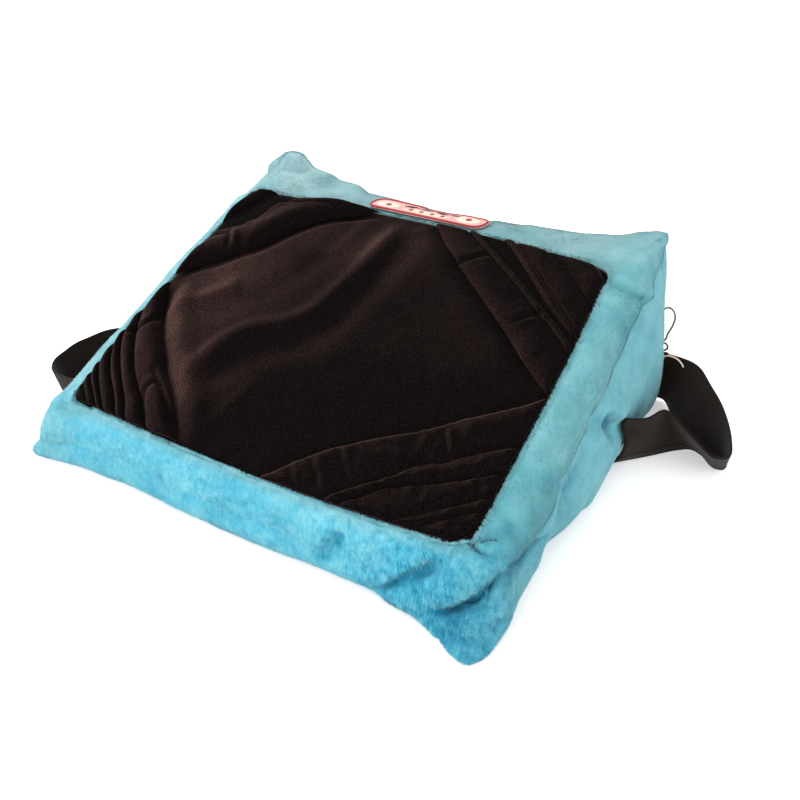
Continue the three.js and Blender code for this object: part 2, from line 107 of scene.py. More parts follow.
# Creases and lobes sculpted into the case: line, half width, depth, and what else each has
CREASES = [
    crease([
        (132, -141, 12), (145, -139, 21), (154, -134, 28), (160, -130, 34), (164, -125, 41),
        (165, -116, 45), (164, -104, 42), (167, -88, 37), (170, -74, 37), (172, -62, 41), (173, -48, 46),
    ], 3.4, 6.5, ridge=3.6, at=9, over=3.2),
    crease([(163, -116, 44), (164, -104, 41), (167, -88, 36), (170, -74, 36), (172, -62, 39)],
           3.4, 4.5, ridge=1.0, at=8, over=2.5),
    crease([(164, -114, 50), (159, -121, 50), (153, -122, 49), (148, -118, 50), (144, -114, 52)],
           2.2, 2.4, ridge=0.8, at=6, over=0.5),
    crease([(143, -117, 49), (151, -115, 52), (156, -111, 55), (160, -105, 56), (161, -98, 59)],
           3.6, 2.2, ridge=0.6, at=8),
    crease([
        (97, -136, 5), (105, -137, 16), (112, -136, 23), (119, -135, 29), (126, -131, 33), (131, -127, 38),
    ], 3.2, 4.2, ridge=2.2, at=8, over=1.6),
    crease([(58, -136, 10), (63, -134, 18), (69, -132, 27), (72, -129, 37)],
           5, 3.4, ridge=2.0, at=9),
    crease([(164, -128, 37), (165, -130, 29)], 1.8, 2.4),
    crease([(146, -115, 51), (152, -128, 42), (152, -136, 30)], 9, -2.6),
    crease([(138, -147, 3), (146, -147, 8)], 5, 3.0),
    crease([(172, -136, 12), (174, -128, 18)], 5, 2.2),
    crease([(143, 72, 123), (151, 68, 124), (160, 68, 122), (169, 74, 116), (172, 84, 110)],
           4.0, 2.6, at=6),
    crease([(168, 82, 116), (173, 96, 106), (176, 108, 100)], 6, -4.5),
    crease([(163, 120, 140), (168, 121, 128), (171, 118, 116)], 4, 2.8),
    crease([(176, 16, 60), (177, 22, 51), (178, 30, 44), (180, 40, 36)],
           6, 5.5, ridge=2.5, at=14),
    crease([(171, -16, 70), (174, 4, 64), (176, 16, 58)], 8, 3.0, at=9),
    crease([(172, -52, 44), (174, -34, 50), (175, -12, 57)], 7, 2.6, at=9),
    crease([(-146, 119, 142), (-128, 126, 141), (-112, 121, 136), (-92, 118, 132)], 11, -4.0),
    crease([(-136, 108, 141), (-128, 112, 138), (-116, 118, 134)], 5, 2.2),
    crease([(-142, 121, 142), (-118, 122, 138), (-92, 123, 132), (-64, 124, 129)], 13, -4.6),
    crease([(-12, 124, 130), (22, 126, 130), (46, 124, 131)], 16, 3.0, shade=0),
    crease([(-160, 78, 116), (-160, 96, 126), (-156, 112, 136)], 14, 6.0, shade=0),
    crease([(-172, -134, 12), (-162, -128, 26), (-153, -122, 38)], 12, -6),
    crease([(180, -8, 12), (178, -30, 9), (171, -50, 7), (170, -74, 8)], 11, 4.5, shade=0),
]


def mix(a, b, share):
    return a + (b - a) * share


def smooth(value):
    s = np.clip(value, 0, 1)
    return s * s * (3 - 2 * s)


def bump(offset, width):
    return np.exp(-((offset / width) ** 2))


def unit(vectors):
    return vectors / np.maximum(np.linalg.norm(vectors, axis=-1), 1e-9)[..., None]


def bezier(a, b, c, d, s):
    r = 1 - s
    return r**3 * a + 3 * r * r * s * b + 3 * r * s * s * c + s**3 * d


def slope_height(y):
    return FRONT_HEIGHT + (y + DEPTH / 2) * math.tan(SLOPE)


def face_to_y(t):
    return -DEPTH / 2 + t * math.cos(SLOPE)


def y_to_face(y):
    return (y + DEPTH / 2) / math.cos(SLOPE)


def side_steps(side, dense_from, dense_to):
    """Steps from -1 up to 1, closer together near the ends and between two places."""
    u = np.linspace(-1, 1, 801)
    weight = 1 + 0.6 * abs(u) ** 6 + 1.1 * smooth((u - dense_from) / 0.2) * smooth((dense_to - u) / 0.2)
    total = np.concatenate([[0], np.cumsum((weight[1:] + weight[:-1]) / 2)])
    return np.interp(np.linspace(0, total[-1], SIDE_POINTS[side] + 1), total, u)[:-1]


def round_trip():
    """The square of points that runs round the case, anticlockwise from the near left corner."""
    front = side_steps("front", 0.2, 1.2)
    right = side_steps("right", -1.2, -0.45)
    back = side_steps("back", 2, 2)
    left = side_steps("left", 2, 2)
    one = np.ones_like
    qx = np.concatenate([front, one(right), -back, -one(left)])
    qy = np.concatenate([-one(front), right, one(back), -left])
    return qx, qy


def rounded_point(qx, qy, half_x, half_y, radius):
    """A rounded rectangle's points and outward directions for points of the square."""
    x = qx * half_x
    y = qy * half_y
    inner_x = np.clip(x, radius - half_x, half_x - radius)
    inner_y = np.clip(y, radius - half_y, half_y - radius)
    length = np.maximum(np.hypot(x - inner_x, y - inner_y), 1e-9)
    out_x = (x - inner_x) / length
    out_y = (y - inner_y) / length
    return inner_x + radius * out_x, inner_y + radius * out_y, out_x, out_y


def side_values(qx, qy):
    """Each side's table row, blended where two sides meet."""
    near_edge = smooth((1 - np.minimum(abs(qx), abs(qy))) / 0.22)
    edge = 0.5 + 0.5 * near_edge
    across = np.where(abs(qx) >= abs(qy), edge, 1 - edge)
    shares = dict(
        right=np.where(qx > 0, across, 0),
        left=np.where(qx > 0, 0, across),
        back=np.where(qy > 0, 1 - across, 0),
        front=np.where(qy > 0, 0, 1 - across),
    )
    blend = {key: sum(shares[side] * SIDES[side][key] for side in SIDES) for key in SIDES["right"]}
    return blend, shares


def seam_points(qx, qy):
    blend, shares = side_values(qx, qy)
    middle = 1 - np.minimum(abs(qx), abs(qy)) ** 2.5
    x, y, out_x, out_y = rounded_point(qx, qy, WIDTH / 2, DEPTH / 2, CORNER_RADIUS)
    x = x + out_x * blend["seam_out"] * middle
    y = y + out_y * blend["seam_out"] * middle
    front = smooth((shares["front"] - 0.3) / 0.2)
    z = slope_height(y) - blend["drop"] * mix(middle, 1, front)
    return x, y, z, out_x, out_y, blend, shares


def edge_lift(y):
    return mix(PANEL["lift_front"], PANEL["lift_back"], smooth(y_to_face(y) / PANEL["lift_reach"]))


def panel_points(qx, qy, scale=1.0, inset=0.0):
    """The panel's edge, bowed outwards, or its outline scaled towards the middle."""
    half_x = PANEL["half_x"] - inset
    half_t = PANEL["half_t"] - inset
    px, pt, _, _ = rounded_point(qx, qy, half_x, half_t, PANEL["radius"])
    u = px / half_x
    v = pt / half_t
    bow_t = np.where(v < 0, -PANEL["bow_front"], PANEL["bow_back"]) * v * v * (1 - u * u)
    bow_x = PANEL["bow_side"] * np.sign(u) * u * u * (1 - v * v)
    pull = (np.maximum(0, -u) * np.maximum(0, -v)) ** 2
    x = PANEL["x"] + (px + bow_x + PANEL["near_left_x"] * pull) * scale
    t = PANEL["t"] + (pt + bow_t + PANEL["near_left_t"] * pull) * scale
    return x, face_to_y(t)


def face_height(x, y):
    u = np.clip(abs(x - PANEL["x"]) / PANEL["half_x"], 0, 1)
    v = np.clip(abs(y_to_face(y) - PANEL["t"]) / PANEL["half_t"], 0, 1)
    return slope_height(y) + edge_lift(y) + PANEL["crown"] * (1 - u**2.2) * (1 - v**2.2)


def nearest_on(points, line):
    """From the nearest spot of a chain of stretches to each point: the offset, the chain's direction,
    its share of length and the distance."""
    line = np.asarray(line, float)
    lengths = np.linalg.norm(np.diff(line, axis=0), axis=1)
    before = np.concatenate([[0], np.cumsum(lengths)])
    best = np.full(len(points), 1e18)
    offset = np.zeros_like(points)
    way = np.zeros_like(points)
    along = np.zeros(len(points))
    for k, (a, b) in enumerate(zip(line[:-1], line[1:])):
        s = np.clip((points - a) @ (b - a) / lengths[k] ** 2, 0, 1)
        r = points - (a + s[:, None] * (b - a))
        d = (r * r).sum(axis=1)
        nearer = d < best
        best = np.where(nearer, d, best)
        offset[nearer] = r[nearer]
        way[nearer] = (b - a) / lengths[k]
        along[nearer] = (before[k] + s[nearer] * lengths[k]) / before[-1]
    return offset, way, along, np.sqrt(best)


def shape_corners(points, qx, qy, share, out_x, out_y):
    """Ears and folds moved onto a ring of the case's side."""
    points = points.copy()
    for ear in EARS:
        away = np.hypot((qx - ear["x"]) * WIDTH / 2, (qy - ear["y"]) * DEPTH / 2)
        near = bump(away, ear["spread"])
        upper = smooth(share / ear["foot_end"])
        fade = np.clip(2 - share, 0, 1)
        for axis in (0, 1):
            points[:, axis] += near * mix(ear["foot"][axis], ear["top"][axis] * fade, upper)
        points[:, 2] += near * ear["lift"] * share**2 * fade
    for fold in FOLDS:
        away = nearest_on(points, fold["line"])[3]
        press = fold["depth"] * bump(away, fold["half_width"])
        points[:, 0] -= out_x * press
        points[:, 1] -= out_y * press
        if share > 1:
            points[:, 2] -= press * 0.3
    return points


def seam_groove(away, qx, qy, shares):
    """The side seam's groove, which ends where the near right corner's folds begin."""
    corner = np.hypot((qx - 1) * WIDTH / 2, (qy + 1) * DEPTH / 2)
    off_front = 1 - np.clip(2 * shares["front"], 0, 1)
    off_corner = smooth((corner - GROOVE["corner"]) / GROOVE["fade"])
    return GROOVE["depth"] * math.exp(-(away**2)) * off_front * off_corner


def wall_ring(qx, qy, share):
    """A ring of the wall, from the floor (0) to the seam (1)."""
    x, y, z, out_x, out_y, blend, shares = seam_points(qx, qy)
    groove = seam_groove((1 - share) / GROOVE["wall"], qx, qy, shares)
    base_in = blend["base_in"]
    out = bezier(-base_in, blend["low"] - base_in, blend["high"], 0, share) - groove
    points = np.stack([x + out_x * out, y + out_y * out, bezier(0, 0, z * 0.5, z, share)], axis=1)
    points = shape_corners(points, qx, qy, share, out_x, out_y)
    if share == 0:
        points[:, 2] = 0
    points[:, 2] = np.maximum(points[:, 2], 0)
    return points


def border_ring(qx, qy, share):
    """A ring of the border, from the seam (0) to the panel's edge (1)."""
    x, y, z, out_x, out_y, blend, shares = seam_points(qx, qy)
    edge_x, edge_y = panel_points(qx, qy)
    groove = seam_groove(share / GROOVE["border"], qx, qy, shares)
    half_x = mix(x, edge_x, 0.5)
    half_y = mix(y, edge_y, 0.5)
    shoulder = slope_height(half_y) + edge_lift(half_y) + blend["puff"]
    rise = z + 0.62 * (slope_height(y) + edge_lift(y) + np.minimum(0, blend["puff"]) - z)
    points = np.stack([
        bezier(x, x + out_x * blend["rise"], half_x, edge_x, share) - out_x * groove,
        bezier(y, y + out_y * blend["rise"], half_y, edge_y, share) - out_y * groove,
        bezier(z, rise, shoulder, face_height(edge_x, edge_y), share),
    ], axis=1)
    return shape_corners(points, qx, qy, 1 + share, out_x, out_y)


def add_object(name, data):
    item = bpy.data.objects.new(name, data)
    bpy.context.scene.collection.objects.link(item)
    return item


def make_mesh(name, points, *face_sets):
    """A mesh object from points in millimetres and tables of faces, each of three or four corners."""
    face_sets = [np.asarray(f, dtype=np.int32) for f in face_sets]
    sizes = np.concatenate([np.full(len(f), f.shape[1]) for f in face_sets])
    starts = np.concatenate([[0], np.cumsum(sizes)[:-1]]).astype(np.int32)
    mesh = bpy.data.meshes.new(name)
    mesh.vertices.add(len(points))
    mesh.vertices.foreach_set("co", (np.asarray(points) * MM).astype(np.float32).ravel())
    mesh.loops.add(int(sizes.sum()))
    mesh.loops.foreach_set("vertex_index", np.concatenate([f.ravel() for f in face_sets]))
    mesh.polygons.add(len(sizes))
    mesh.polygons.foreach_set("loop_start", starts)
    mesh.polygons.foreach_set("use_smooth", np.ones(len(sizes), dtype=bool))
    mesh.update(calc_edges=True)
    return add_object(name, mesh)


def grid_faces(rows, columns, start=0, closed=False):
    """Faces of a grid of points whose rows follow one another, closed round if asked."""
    i, j = np.meshgrid(np.arange(rows - 1), np.arange(columns if closed else columns - 1), indexing="ij")
    low = start + i.ravel() * columns
    high = low + columns
    j = j.ravel()
    k = (j + 1) % columns
    return np.stack([low + j, low + k, high + k, high + j], axis=1)


def sheet_mesh(name, lower, upper):
    """A closed sheet from two grids of points, rows by columns by 3."""
    rows, columns, _ = lower.shape
    points = np.concatenate([lower.reshape(-1, 3), upper.reshape(-1, 3)])
    top = grid_faces(rows, columns, rows * columns)
    under = grid_faces(rows, columns)[:, ::-1]
    rim = np.concatenate([
        np.arange(columns),
        np.arange(1, rows) * columns + columns - 1,
        (rows - 1) * columns + np.arange(columns - 2, -1, -1),
        np.arange(rows - 2, 0, -1) * columns,
    ])
    after = np.roll(rim, -1)
    side = np.stack([rim, after, after + rows * columns, rim + rows * columns], axis=1)
    return make_mesh(name, points, np.concatenate([top, under, side]))


def hash_values(cells, seed):
    """A fixed value from -1 to 1 for each whole-numbered cell."""
    x, y, z = (cells[:, k].astype(np.int64) for k in range(3))
    h = (x * 374761393 + y * 668265263 + z * 1274126177 + seed * 1442695041) & 0xFFFFFFFF
    h = ((h ^ (h >> 13)) * 1103515245) & 0xFFFFFFFF
    h = ((h ^ (h >> 15)) * 2246822519) & 0xFFFFFFFF
    return (h ^ (h >> 16)) / 2147483647.5 - 1


def noise_at(points, scale, seed=0):
    """Smooth noise from -1 to 1 at points in millimetres, its lumps about scale across."""
    p = points / scale + 100
    cell = np.floor(p)
    f = p - cell
    f = f * f * f * (f * (f * 6 - 15) + 10)
    total = np.zeros(len(points))
    for corner in range(8):
        step = np.array([corner & 1, corner >> 1 & 1, corner >> 2 & 1])
        weight = np.where(step, f, 1 - f).prod(axis=1)
        total += weight * hash_values(cell + step, seed)
    return total


def mottle(points, rows):
    """Noise in several sizes, added up: how wide its lumps are, its seed and its strength."""
    return sum(strength * noise_at(points, across, seed) for across, seed, strength in rows)


def noise_vectors(points, scale, seed):
    """Noise along each axis."""
    return np.stack([noise_at(points, scale, seed + axis) for axis in range(3)], axis=1)


def soften(line, times=2):
    """A chain with its corners cut."""
    line = np.asarray(line, float)
    for _ in range(times):
        a, b = line[:-1], line[1:]
        cut = np.stack([mix(a, b, 0.25), mix(a, b, 0.75)], axis=1).reshape(-1, line.shape[1])
        line = np.concatenate([line[:1], cut, line[-1:]])
    return line


def sculpt(points, normals, creases):
    """Points moved by creases and the lobes beside them, and how much painted shade each point gets from
    lying deep in a crease.
    """
    moved = points.copy()
    crease_shade = np.zeros(len(points))
    for c in creases:
        line = soften(c["line"])
        reach = 3 * c["width"] + 2.5 * c["at"] + 8
        near = np.where((abs(points - line.mean(axis=0)) < np.ptp(line, axis=0) / 2 + reach).all(axis=1))[0]
        if not len(near):
            continue
        r, way, along, away = nearest_on(points[near], line)
        left = np.cross(normals[near], way)
        side = (r * left).sum(axis=1)
        taper = smooth(np.minimum(along, 1 - along) / 0.16 + 0.15)
        press = c["depth"] * bump(away, c["width"]) * taper
        beyond = bump(np.maximum(away - abs(side), 0), c["at"])
        lobe = bump(side - c["at"], 0.7 * c["at"]) * beyond * taper
        lip = bump(side - 0.6 * c["at"], 0.55 * c["at"]) * beyond * taper
        moved[near] += normals[near] * (c["ridge"] * lobe - press)[:, None]
        moved[near] -= left * (c["over"] * lip)[:, None]
        # Painted shade: the deeper a point lies in a crease, the darker it is painted
        if c["depth"] > 0:
            crease_shade[near] = np.maximum(crease_shade[near], c["shade"] * (press / 5) ** 1.6)
    return moved, crease_shade


def link_nodes(tree, *pairs):
    for source, target in pairs:
        tree.links.new(source, target)


def add_node(tree, kind, **settings):
    """A node with its settings and the values of its sockets, underscores standing for spaces."""
    node = tree.nodes.new(kind)
    for key, value in settings.items():
        if hasattr(node, key):
            setattr(node, key, value)
        else:
            node.inputs[key.replace("_", " ")].default_value = value
    return node


def cloth_bump(tree, shader, fine, fine_strength, coarse, coarse_strength):
    """A fine grain over a coarse unevenness, in object space."""
    place = add_node(tree, "ShaderNodeTexCoord")
    grain = add_node(tree, "ShaderNodeTexNoise", Scale=fine, Detail=4.0)
    lumps = add_node(tree, "ShaderNodeTexNoise", Scale=coarse, Detail=3.0)
    first = add_node(tree, "ShaderNodeBump", Strength=coarse_strength, Distance=0.002)
    second = add_node(tree, "ShaderNodeBump", Strength=fine_strength, Distance=0.0006)
    link_nodes(
        tree,
        (place.outputs["Object"], grain.inputs["Vector"]),
        (place.outputs["Object"], lumps.inputs["Vector"]),
        (lumps.outputs["Fac"], first.inputs["Height"]),
        (grain.outputs["Fac"], second.inputs["Height"]),
        (first.outputs["Normal"], second.inputs["Normal"]),
        (second.outputs["Normal"], shader.inputs["Normal"]),
    )
    return grain


def new_material(name, unevenness=None, **values):
    """A material whose shader takes these values, underscores standing for spaces. Unevenness is
    the scale and strength of a fine grain, and those of the coarse lumps under it."""
    material = bpy.data.materials.new(name)
    material.use_nodes = True
    tree = material.node_tree
    shader = tree.nodes["Principled BSDF"]
    for key, value in values.items():
        shader.inputs[key.replace("_", " ")].default_value = value
    grain = cloth_bump(tree, shader, *unevenness) if unevenness else None
    return material, tree, shader, grain


def srgb(red, green, blue):
    """A colour written as on a screen, 0 to 255, for a shader."""
    values = [c / 255 for c in (red, green, blue)]
    return tuple(c / 12.92 if c <= 0.04045 else ((c + 0.055) / 1.055) ** 2.4 for c in values) + (1,)


def brown_material():
    """Short dark pile: a fine mottled colour with a sheen on its edges."""
    material, tree, shader, grain = new_material(
        "brown_plush", (850.0, 0.4, 160.0, 0.25), Roughness=1.0, Specular_IOR_Level=0.02,
        Sheen_Weight=0.07, Sheen_Roughness=0.28, Sheen_Tint=(1, 0.66, 0.62, 1),
    )
    grain_tone = add_node(tree, "ShaderNodeMapRange", From_Min=0.3, From_Max=0.7, To_Min=0.3, To_Max=1.7)
    tone = add_node(tree, "ShaderNodeVertexColor", layer_name="tone")
    times = add_node(tree, "ShaderNodeVectorMath", operation="SCALE")
    link_nodes(
        tree,
        (grain.outputs["Fac"], grain_tone.inputs["Value"]),
        (tone.outputs["Color"], times.inputs[0]),
        (grain_tone.outputs["Result"], times.inputs["Scale"]),
        (times.outputs["Vector"], shader.inputs["Base Color"]),
    )
    return material


def blue_material(name, unevenness=None):
    """Blue plush in the tones painted on its points."""
    material, tree, shader, _ = new_material(
        name, unevenness, Roughness=0.95, Specular_IOR_Level=0.1, Sheen_Weight=0.12, Sheen_Roughness=0.5,
    )
    tone = add_node(tree, "ShaderNodeVertexColor", layer_name="tone")
    link_nodes(tree, (tone.outputs["Color"], shader.inputs["Base Color"]))
    return material


def webbing_material():
    """Ribbed webbing with a low sheen."""
    material, tree, shader, grain = new_material(
        "webbing", (1400.0, 0.5, 300.0, 0.3), Roughness=0.85, Specular_IOR_Level=0.08, Sheen_Weight=0.06,
    )
    shades = add_node(tree, "ShaderNodeValToRGB")
    dark, pale = shades.color_ramp.elements
    dark.position = 0.3
    dark.color = srgb(22, 16, 13)
    pale.position = 0.7
    pale.color = srgb(36, 28, 24)
    link_nodes(
        tree,
        (grain.outputs["Fac"], shades.inputs["Fac"]),
        (shades.outputs["Color"], shader.inputs["Base Color"]),
    )
    return material


def finish_piece(piece, material, slot, *nodes):
    """Every piece rides on the one body and stands for its CAD nodes."""
    piece.data.materials.append(material)
    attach(piece, "root")
    if nodes:
        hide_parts(*nodes)
    return piece


# Ridges (a depth below 0) and valleys of the panel: lines of x and t on the face
FACE_FOLDS = [
    crease([
        (-78, 38), (-70, 57), (-66, 72), (-56, 88), (-36, 98), (-18, 112), (-12, 135), (-8, 160), (-6, 194),
        (-7, 226),
    ], 8, -3.8, at=8),
    crease([(-60, 34), (-52, 62), (-30, 80), (0, 100), (6, 140), (10, 180), (10, 220)],
           11, 2.4, at=8),
    crease([(-122, 84), (-116, 96), (-100, 112), (-84, 128)], 8, -2.4, at=8),
    crease([(-96, 84), (-80, 108), (-56, 128), (-44, 160), (-36, 200)], 11, 1.8, at=8),
    crease([(-50, 10), (-40, 22), (-30, 40), (-22, 60)], 7, -1.6, at=8),
    crease([(4, 224), (20, 208), (36, 200), (52, 190)], 8, -1.6, at=8),
    crease([(-30, 222), (-34, 190), (-40, 170)], 6, -1.2, at=8),
    crease([(-64, 60), (-20, 70), (40, 78), (96, 82)], 16, 1.2, at=8),
]

# The pockets: seams from the open edge to the panel's corner, each band's height and how round it is
POCKETS = dict(
    near_left=dict(valley=4.2, rim=4.2, gather=0.15, bands=[
        (5.4, 0.5), (4.6, 0.7), (4.2, 0.7), (4.0, 0.7), (3.4, 0.7), (3.0, 0.7), (2.4, 0.7),
    ], lines=[
        [(-141, 116), (-129, 93), (-120, 79), (-110, 67), (-99, 56), (-91, 46), (-83, 40), (-75, 32),
         (-62, 19), (-52, 8)],
        [(-143, 88), (-135, 69), (-128, 58), (-121, 48), (-112, 38), (-101, 29), (-94, 24), (-86, 16),
         (-78, 7)],
        [(-147, 74), (-142, 60), (-132, 46), (-121, 34), (-110, 24), (-103, 16), (-96, 7)],
        [(-150, 64), (-142, 50), (-135, 39), (-128, 31), (-117, 22), (-104, 7)],
        [(-152, 52), (-146, 39), (-138, 29), (-130, 21), (-121, 13), (-115, 7)],
        [(-154, 42), (-144, 27), (-136, 20), (-128, 14), (-121, 6)],
        [(-154, 33), (-146, 21), (-137, 14), (-130, 6)],
        [(-154, 22), (-148, 15), (-140, 7)],
    ]),
    far_left=dict(valley=2.6, rim=3.0, gather=0.5, bands=[
        (5.0, 0.35), (0.4, 0.5), (6.0, 0.6), (3.2, 0.6),
    ], lines=[
        [(-150, 119), (-137, 129), (-130, 137), (-121, 141), (-112, 149), (-104, 157), (-96, 162),
         (-88, 173), (-79, 189), (-70, 202), (-60, 211), (-48, 218), (-34, 226), (-26, 232)],
        [(-150, 148), (-143, 156), (-140, 168), (-134, 178), (-127, 178), (-120, 185), (-115, 193),
         (-114, 203), (-111, 213), (-100, 222), (-86, 232)],
        [(-150, 174), (-142, 184), (-137, 191), (-130, 200), (-127, 209), (-122, 219), (-114, 232)],
        [(-150, 190), (-142, 209), (-136, 220), (-128, 232)],
        [(-148, 210), (-143, 222), (-136, 231)],
    ]),
    far_right=dict(valley=1.4, rim=0.6, gather=0.15, bands=[
        (3.0, 0.22), (4.2, 0.6), (0.5, 0.4), (4.0, 0.6), (2.8, 0.3), (2.0, 0.4),
    ], lines=[
        [(14, 232), (23, 223), (37, 206), (51, 193), (60, 185), (74, 173), (85, 164), (97, 154),
         (109, 145), (122, 133), (133, 125), (150, 112)],
        [(40, 232), (57, 216), (68, 208), (80, 198), (93, 188), (105, 179), (120, 167), (131, 160),
         (150, 145)],
        [(46, 232), (61, 219), (72, 211), (84, 201), (97, 191), (109, 182), (123, 171), (134, 164),
         (150, 151)],
        [(64, 233), (72, 226), (84, 215), (97, 201), (109, 189), (118, 180), (129, 171), (150, 156)],
        [(74, 233), (87, 219), (98, 209), (108, 199), (125, 182), (150, 160)],
        [(94, 233), (110, 220), (122, 212), (133, 200), (150, 183)],
        [(126, 233), (138, 222), (150, 208)],
    ]),
    near_right=dict(valley=1.4, rim=0.6, gather=0.9, bands=[
        (2.8, 0.25), (3.6, 0.6), (2.8, 0.3), (2.6, 0.5), (2.0, 0.5),
    ], lines=[
        [(6, 1), (16, 11), (25, 20), (35, 27), (45, 35), (56, 41), (71, 50), (86, 58), (101, 68),
         (109, 77), (123, 88), (137, 100), (150, 114)],
        [(48, 1), (59, 11), (68, 18), (81, 27), (90, 33), (96, 40), (105, 46), (114, 49), (120, 55),
         (129, 62), (150, 77)],
        [(57, 2), (68, 11), (76, 16), (85, 24), (95, 29), (116, 38), (130, 46), (150, 59)],
        [(90, 5), (100, 11), (113, 19), (122, 25), (131, 31), (150, 45)],
        [(108, 7), (121, 17), (130, 24), (150, 37)],
        [(128, 7), (138, 14), (150, 26)],
    ]),
)

# Each pocket's open edge is pressed into the panel
for name, item in POCKETS.items():
    edge = item["lines"][0]
    turned = edge[::-1] if name in ("far_right", "near_right") else edge
    FACE_FOLDS.append(crease(turned, width=5, depth=item["valley"], ridge=item["rim"], at=13))


def flat_points(x, t):
    """Spots of the face laid flat."""
    return np.stack([x.ravel(), t.ravel(), np.zeros(x.size)], axis=1)


def pressed(x, t, creases):
    """How far creases raise or lower spots of the face."""
    flat = flat_points(x, t)
    moved, _ = sculpt(flat, np.tile([0.0, 0.0, 1.0], (len(flat), 1)), creases)
    return moved[:, 2].reshape(x.shape)


def face_surface(x, t):
    """Height of the panel's top over the floor, with its folds."""
    across = abs(x - PANEL["x"]) / PANEL["half_x"]
    along = abs(t - PANEL["t"]) / (PANEL["half_t"] + PANEL["bow_back"] * (1 - np.clip(across, 0, 1) ** 2))
    fade = smooth((1.01 - np.maximum(across, along)) / 0.07)
    return face_height(x, face_to_y(t)) + pressed(x, t, FACE_FOLDS) * fade


def vertex_normals(points, faces):
    normals = np.zeros_like(points)
    a, b, c, d = (points[faces[:, k]] for k in range(4))
    flat = np.cross(c - a, d - b)
    for corner in range(4):
        np.add.at(normals, faces[:, corner], flat)
    return unit(normals)


# The lumps of the filled case: how wide, seed and height; and the rings over which they fade in
# above the floor and out before the panel
CASE_LUMPS = [(42, 1, 1.5), (15, 2, 0.7), (6, 3, 0.12)]
CALM_RINGS = (5, 6)

# The filled case
qx, qy = round_trip()
ring_count = len(qx)
shares_up = np.concatenate([np.linspace(0, 1, WALL_STEPS + 1), 1 + np.linspace(0, 1, BORDER_STEPS + 1)[1:]])
rings = [wall_ring(qx, qy, s) if s <= 1 else border_ring(qx, qy, s - 1) for s in shares_up]
points = np.concatenate(rings)
faces = grid_faces(len(rings), ring_count, closed=True)
points, crease_shade = sculpt(points, vertex_normals(points, faces), CREASES)
ring_of = np.arange(len(points)) // ring_count
calm = smooth(ring_of / CALM_RINGS[0]) * smooth((LAST_RING - ring_of) / CALM_RINGS[1])
points = points + vertex_normals(points, faces) * (mottle(points, CASE_LUMPS) * calm)[:, None]
points[:, 2] = np.maximum(points[:, 2], 0)
points[:ring_count, 2] = 0
case_normals = vertex_normals(points, faces)


def case_piece():
    """The case, closed below by its flat base and above by a bed under the panel."""
    rows = [points]
    for scale, gap in BED:
        x, y = panel_points(qx, qy, scale, 0.8)
        rows.append(np.stack([x, y, face_surface(x, y_to_face(y)) - gap], axis=1))
    top_z = face_surface(np.array([float(PANEL["x"])]), np.array([float(PANEL["t"])]))[0] - BED[-1][1]
    rows.append(np.array([[0, 0, 0], [PANEL["x"], face_to_y(PANEL["t"]), top_z]]))
    every = np.concatenate(rows)
    count = len(rings) + len(BED)
    first = np.arange(ring_count)
    after = np.roll(first, -1)
    last = (count - 1) * ring_count
    bottom = np.full(ring_count, len(every) - 2)
    top = np.full(ring_count, len(every) - 1)
    fans = np.concatenate([
        np.stack([bottom, after, first], axis=1),
        np.stack([last + first, last + after, top], axis=1),
    ])
    return make_mesh("case", every, grid_faces(count, ring_count, closed=True), fans)


# Painted light and shade of the nap on each side, paler where it takes more light: deep, middle and pale
# tones
NAP_LIGHT = dict(
    front=((12, 110, 142), (78, 180, 206), (148, 216, 224)),
    front_top=((22, 100, 122), (104, 170, 182), (156, 204, 210)),
    right=((16, 88, 116), (85, 150, 159), (144, 190, 195)),
    gusset=((22, 90, 122), (96, 166, 178), (136, 192, 198)),
    back=((34, 92, 112), (105, 151, 156), (150, 180, 183)),
    back_wall=((36, 100, 122), (116, 170, 176), (172, 202, 204)),
    left=((18, 98, 124), (100, 164, 174), (154, 198, 204)),
)


def ramp(colours, tone):
    """A colour for each tone from 0 to 1 on a ramp of three."""
    deep, middle, pale = (np.array(srgb(*c)[:3]) for c in colours)
    low = np.clip(tone * 2, 0, 1)[:, None]
    high = np.clip(tone * 2 - 1, 0, 1)[:, None]
    return mix(mix(deep, middle, low), pale, high)


def nap_light_colour(tone, sides):
    """Colours of painted light and shade for tones, blended by how far each point belongs to each side."""
    return sum(sides[side][:, None] * ramp(NAP_LIGHT[side], tone) for side in NAP_LIGHT)


def paint(piece, colours):
    """Colours as a layer on the piece's points."""
    layer = piece.data.color_attributes.new("tone", "FLOAT_COLOR", "POINT")
    full = np.concatenate([colours, np.ones((len(colours), 1))], axis=1)
    layer.data.foreach_set("color", full.astype(np.float32).ravel())


# How far each point of the case belongs to each side, parted where the nap turns
_, side_shares = side_values(qx, qy)
nap_sides = {side: np.tile(share, len(rings)) for side, share in side_shares.items()}
heights = np.repeat(shares_up, ring_count)
wall = smooth((1.02 - heights) / 0.05)
edge_strip = smooth((heights - 1.55) / 0.35)
PARTS = [("right", "gusset", wall), ("back", "back_wall", wall), ("front", "front_top", edge_strip)]
for side, part, share in PARTS:
    nap_sides[part] = nap_sides[side] * share
    nap_sides[side] = nap_sides[side] * (1 - share)
# Painted light: the border is lighter towards its top by the panel
top_light = smooth((heights - 1.1) / 0.5)
seam_shade = bump(heights - 1, 0.035) * np.clip(nap_sides["right"] + nap_sides["gusset"], 0, 1)

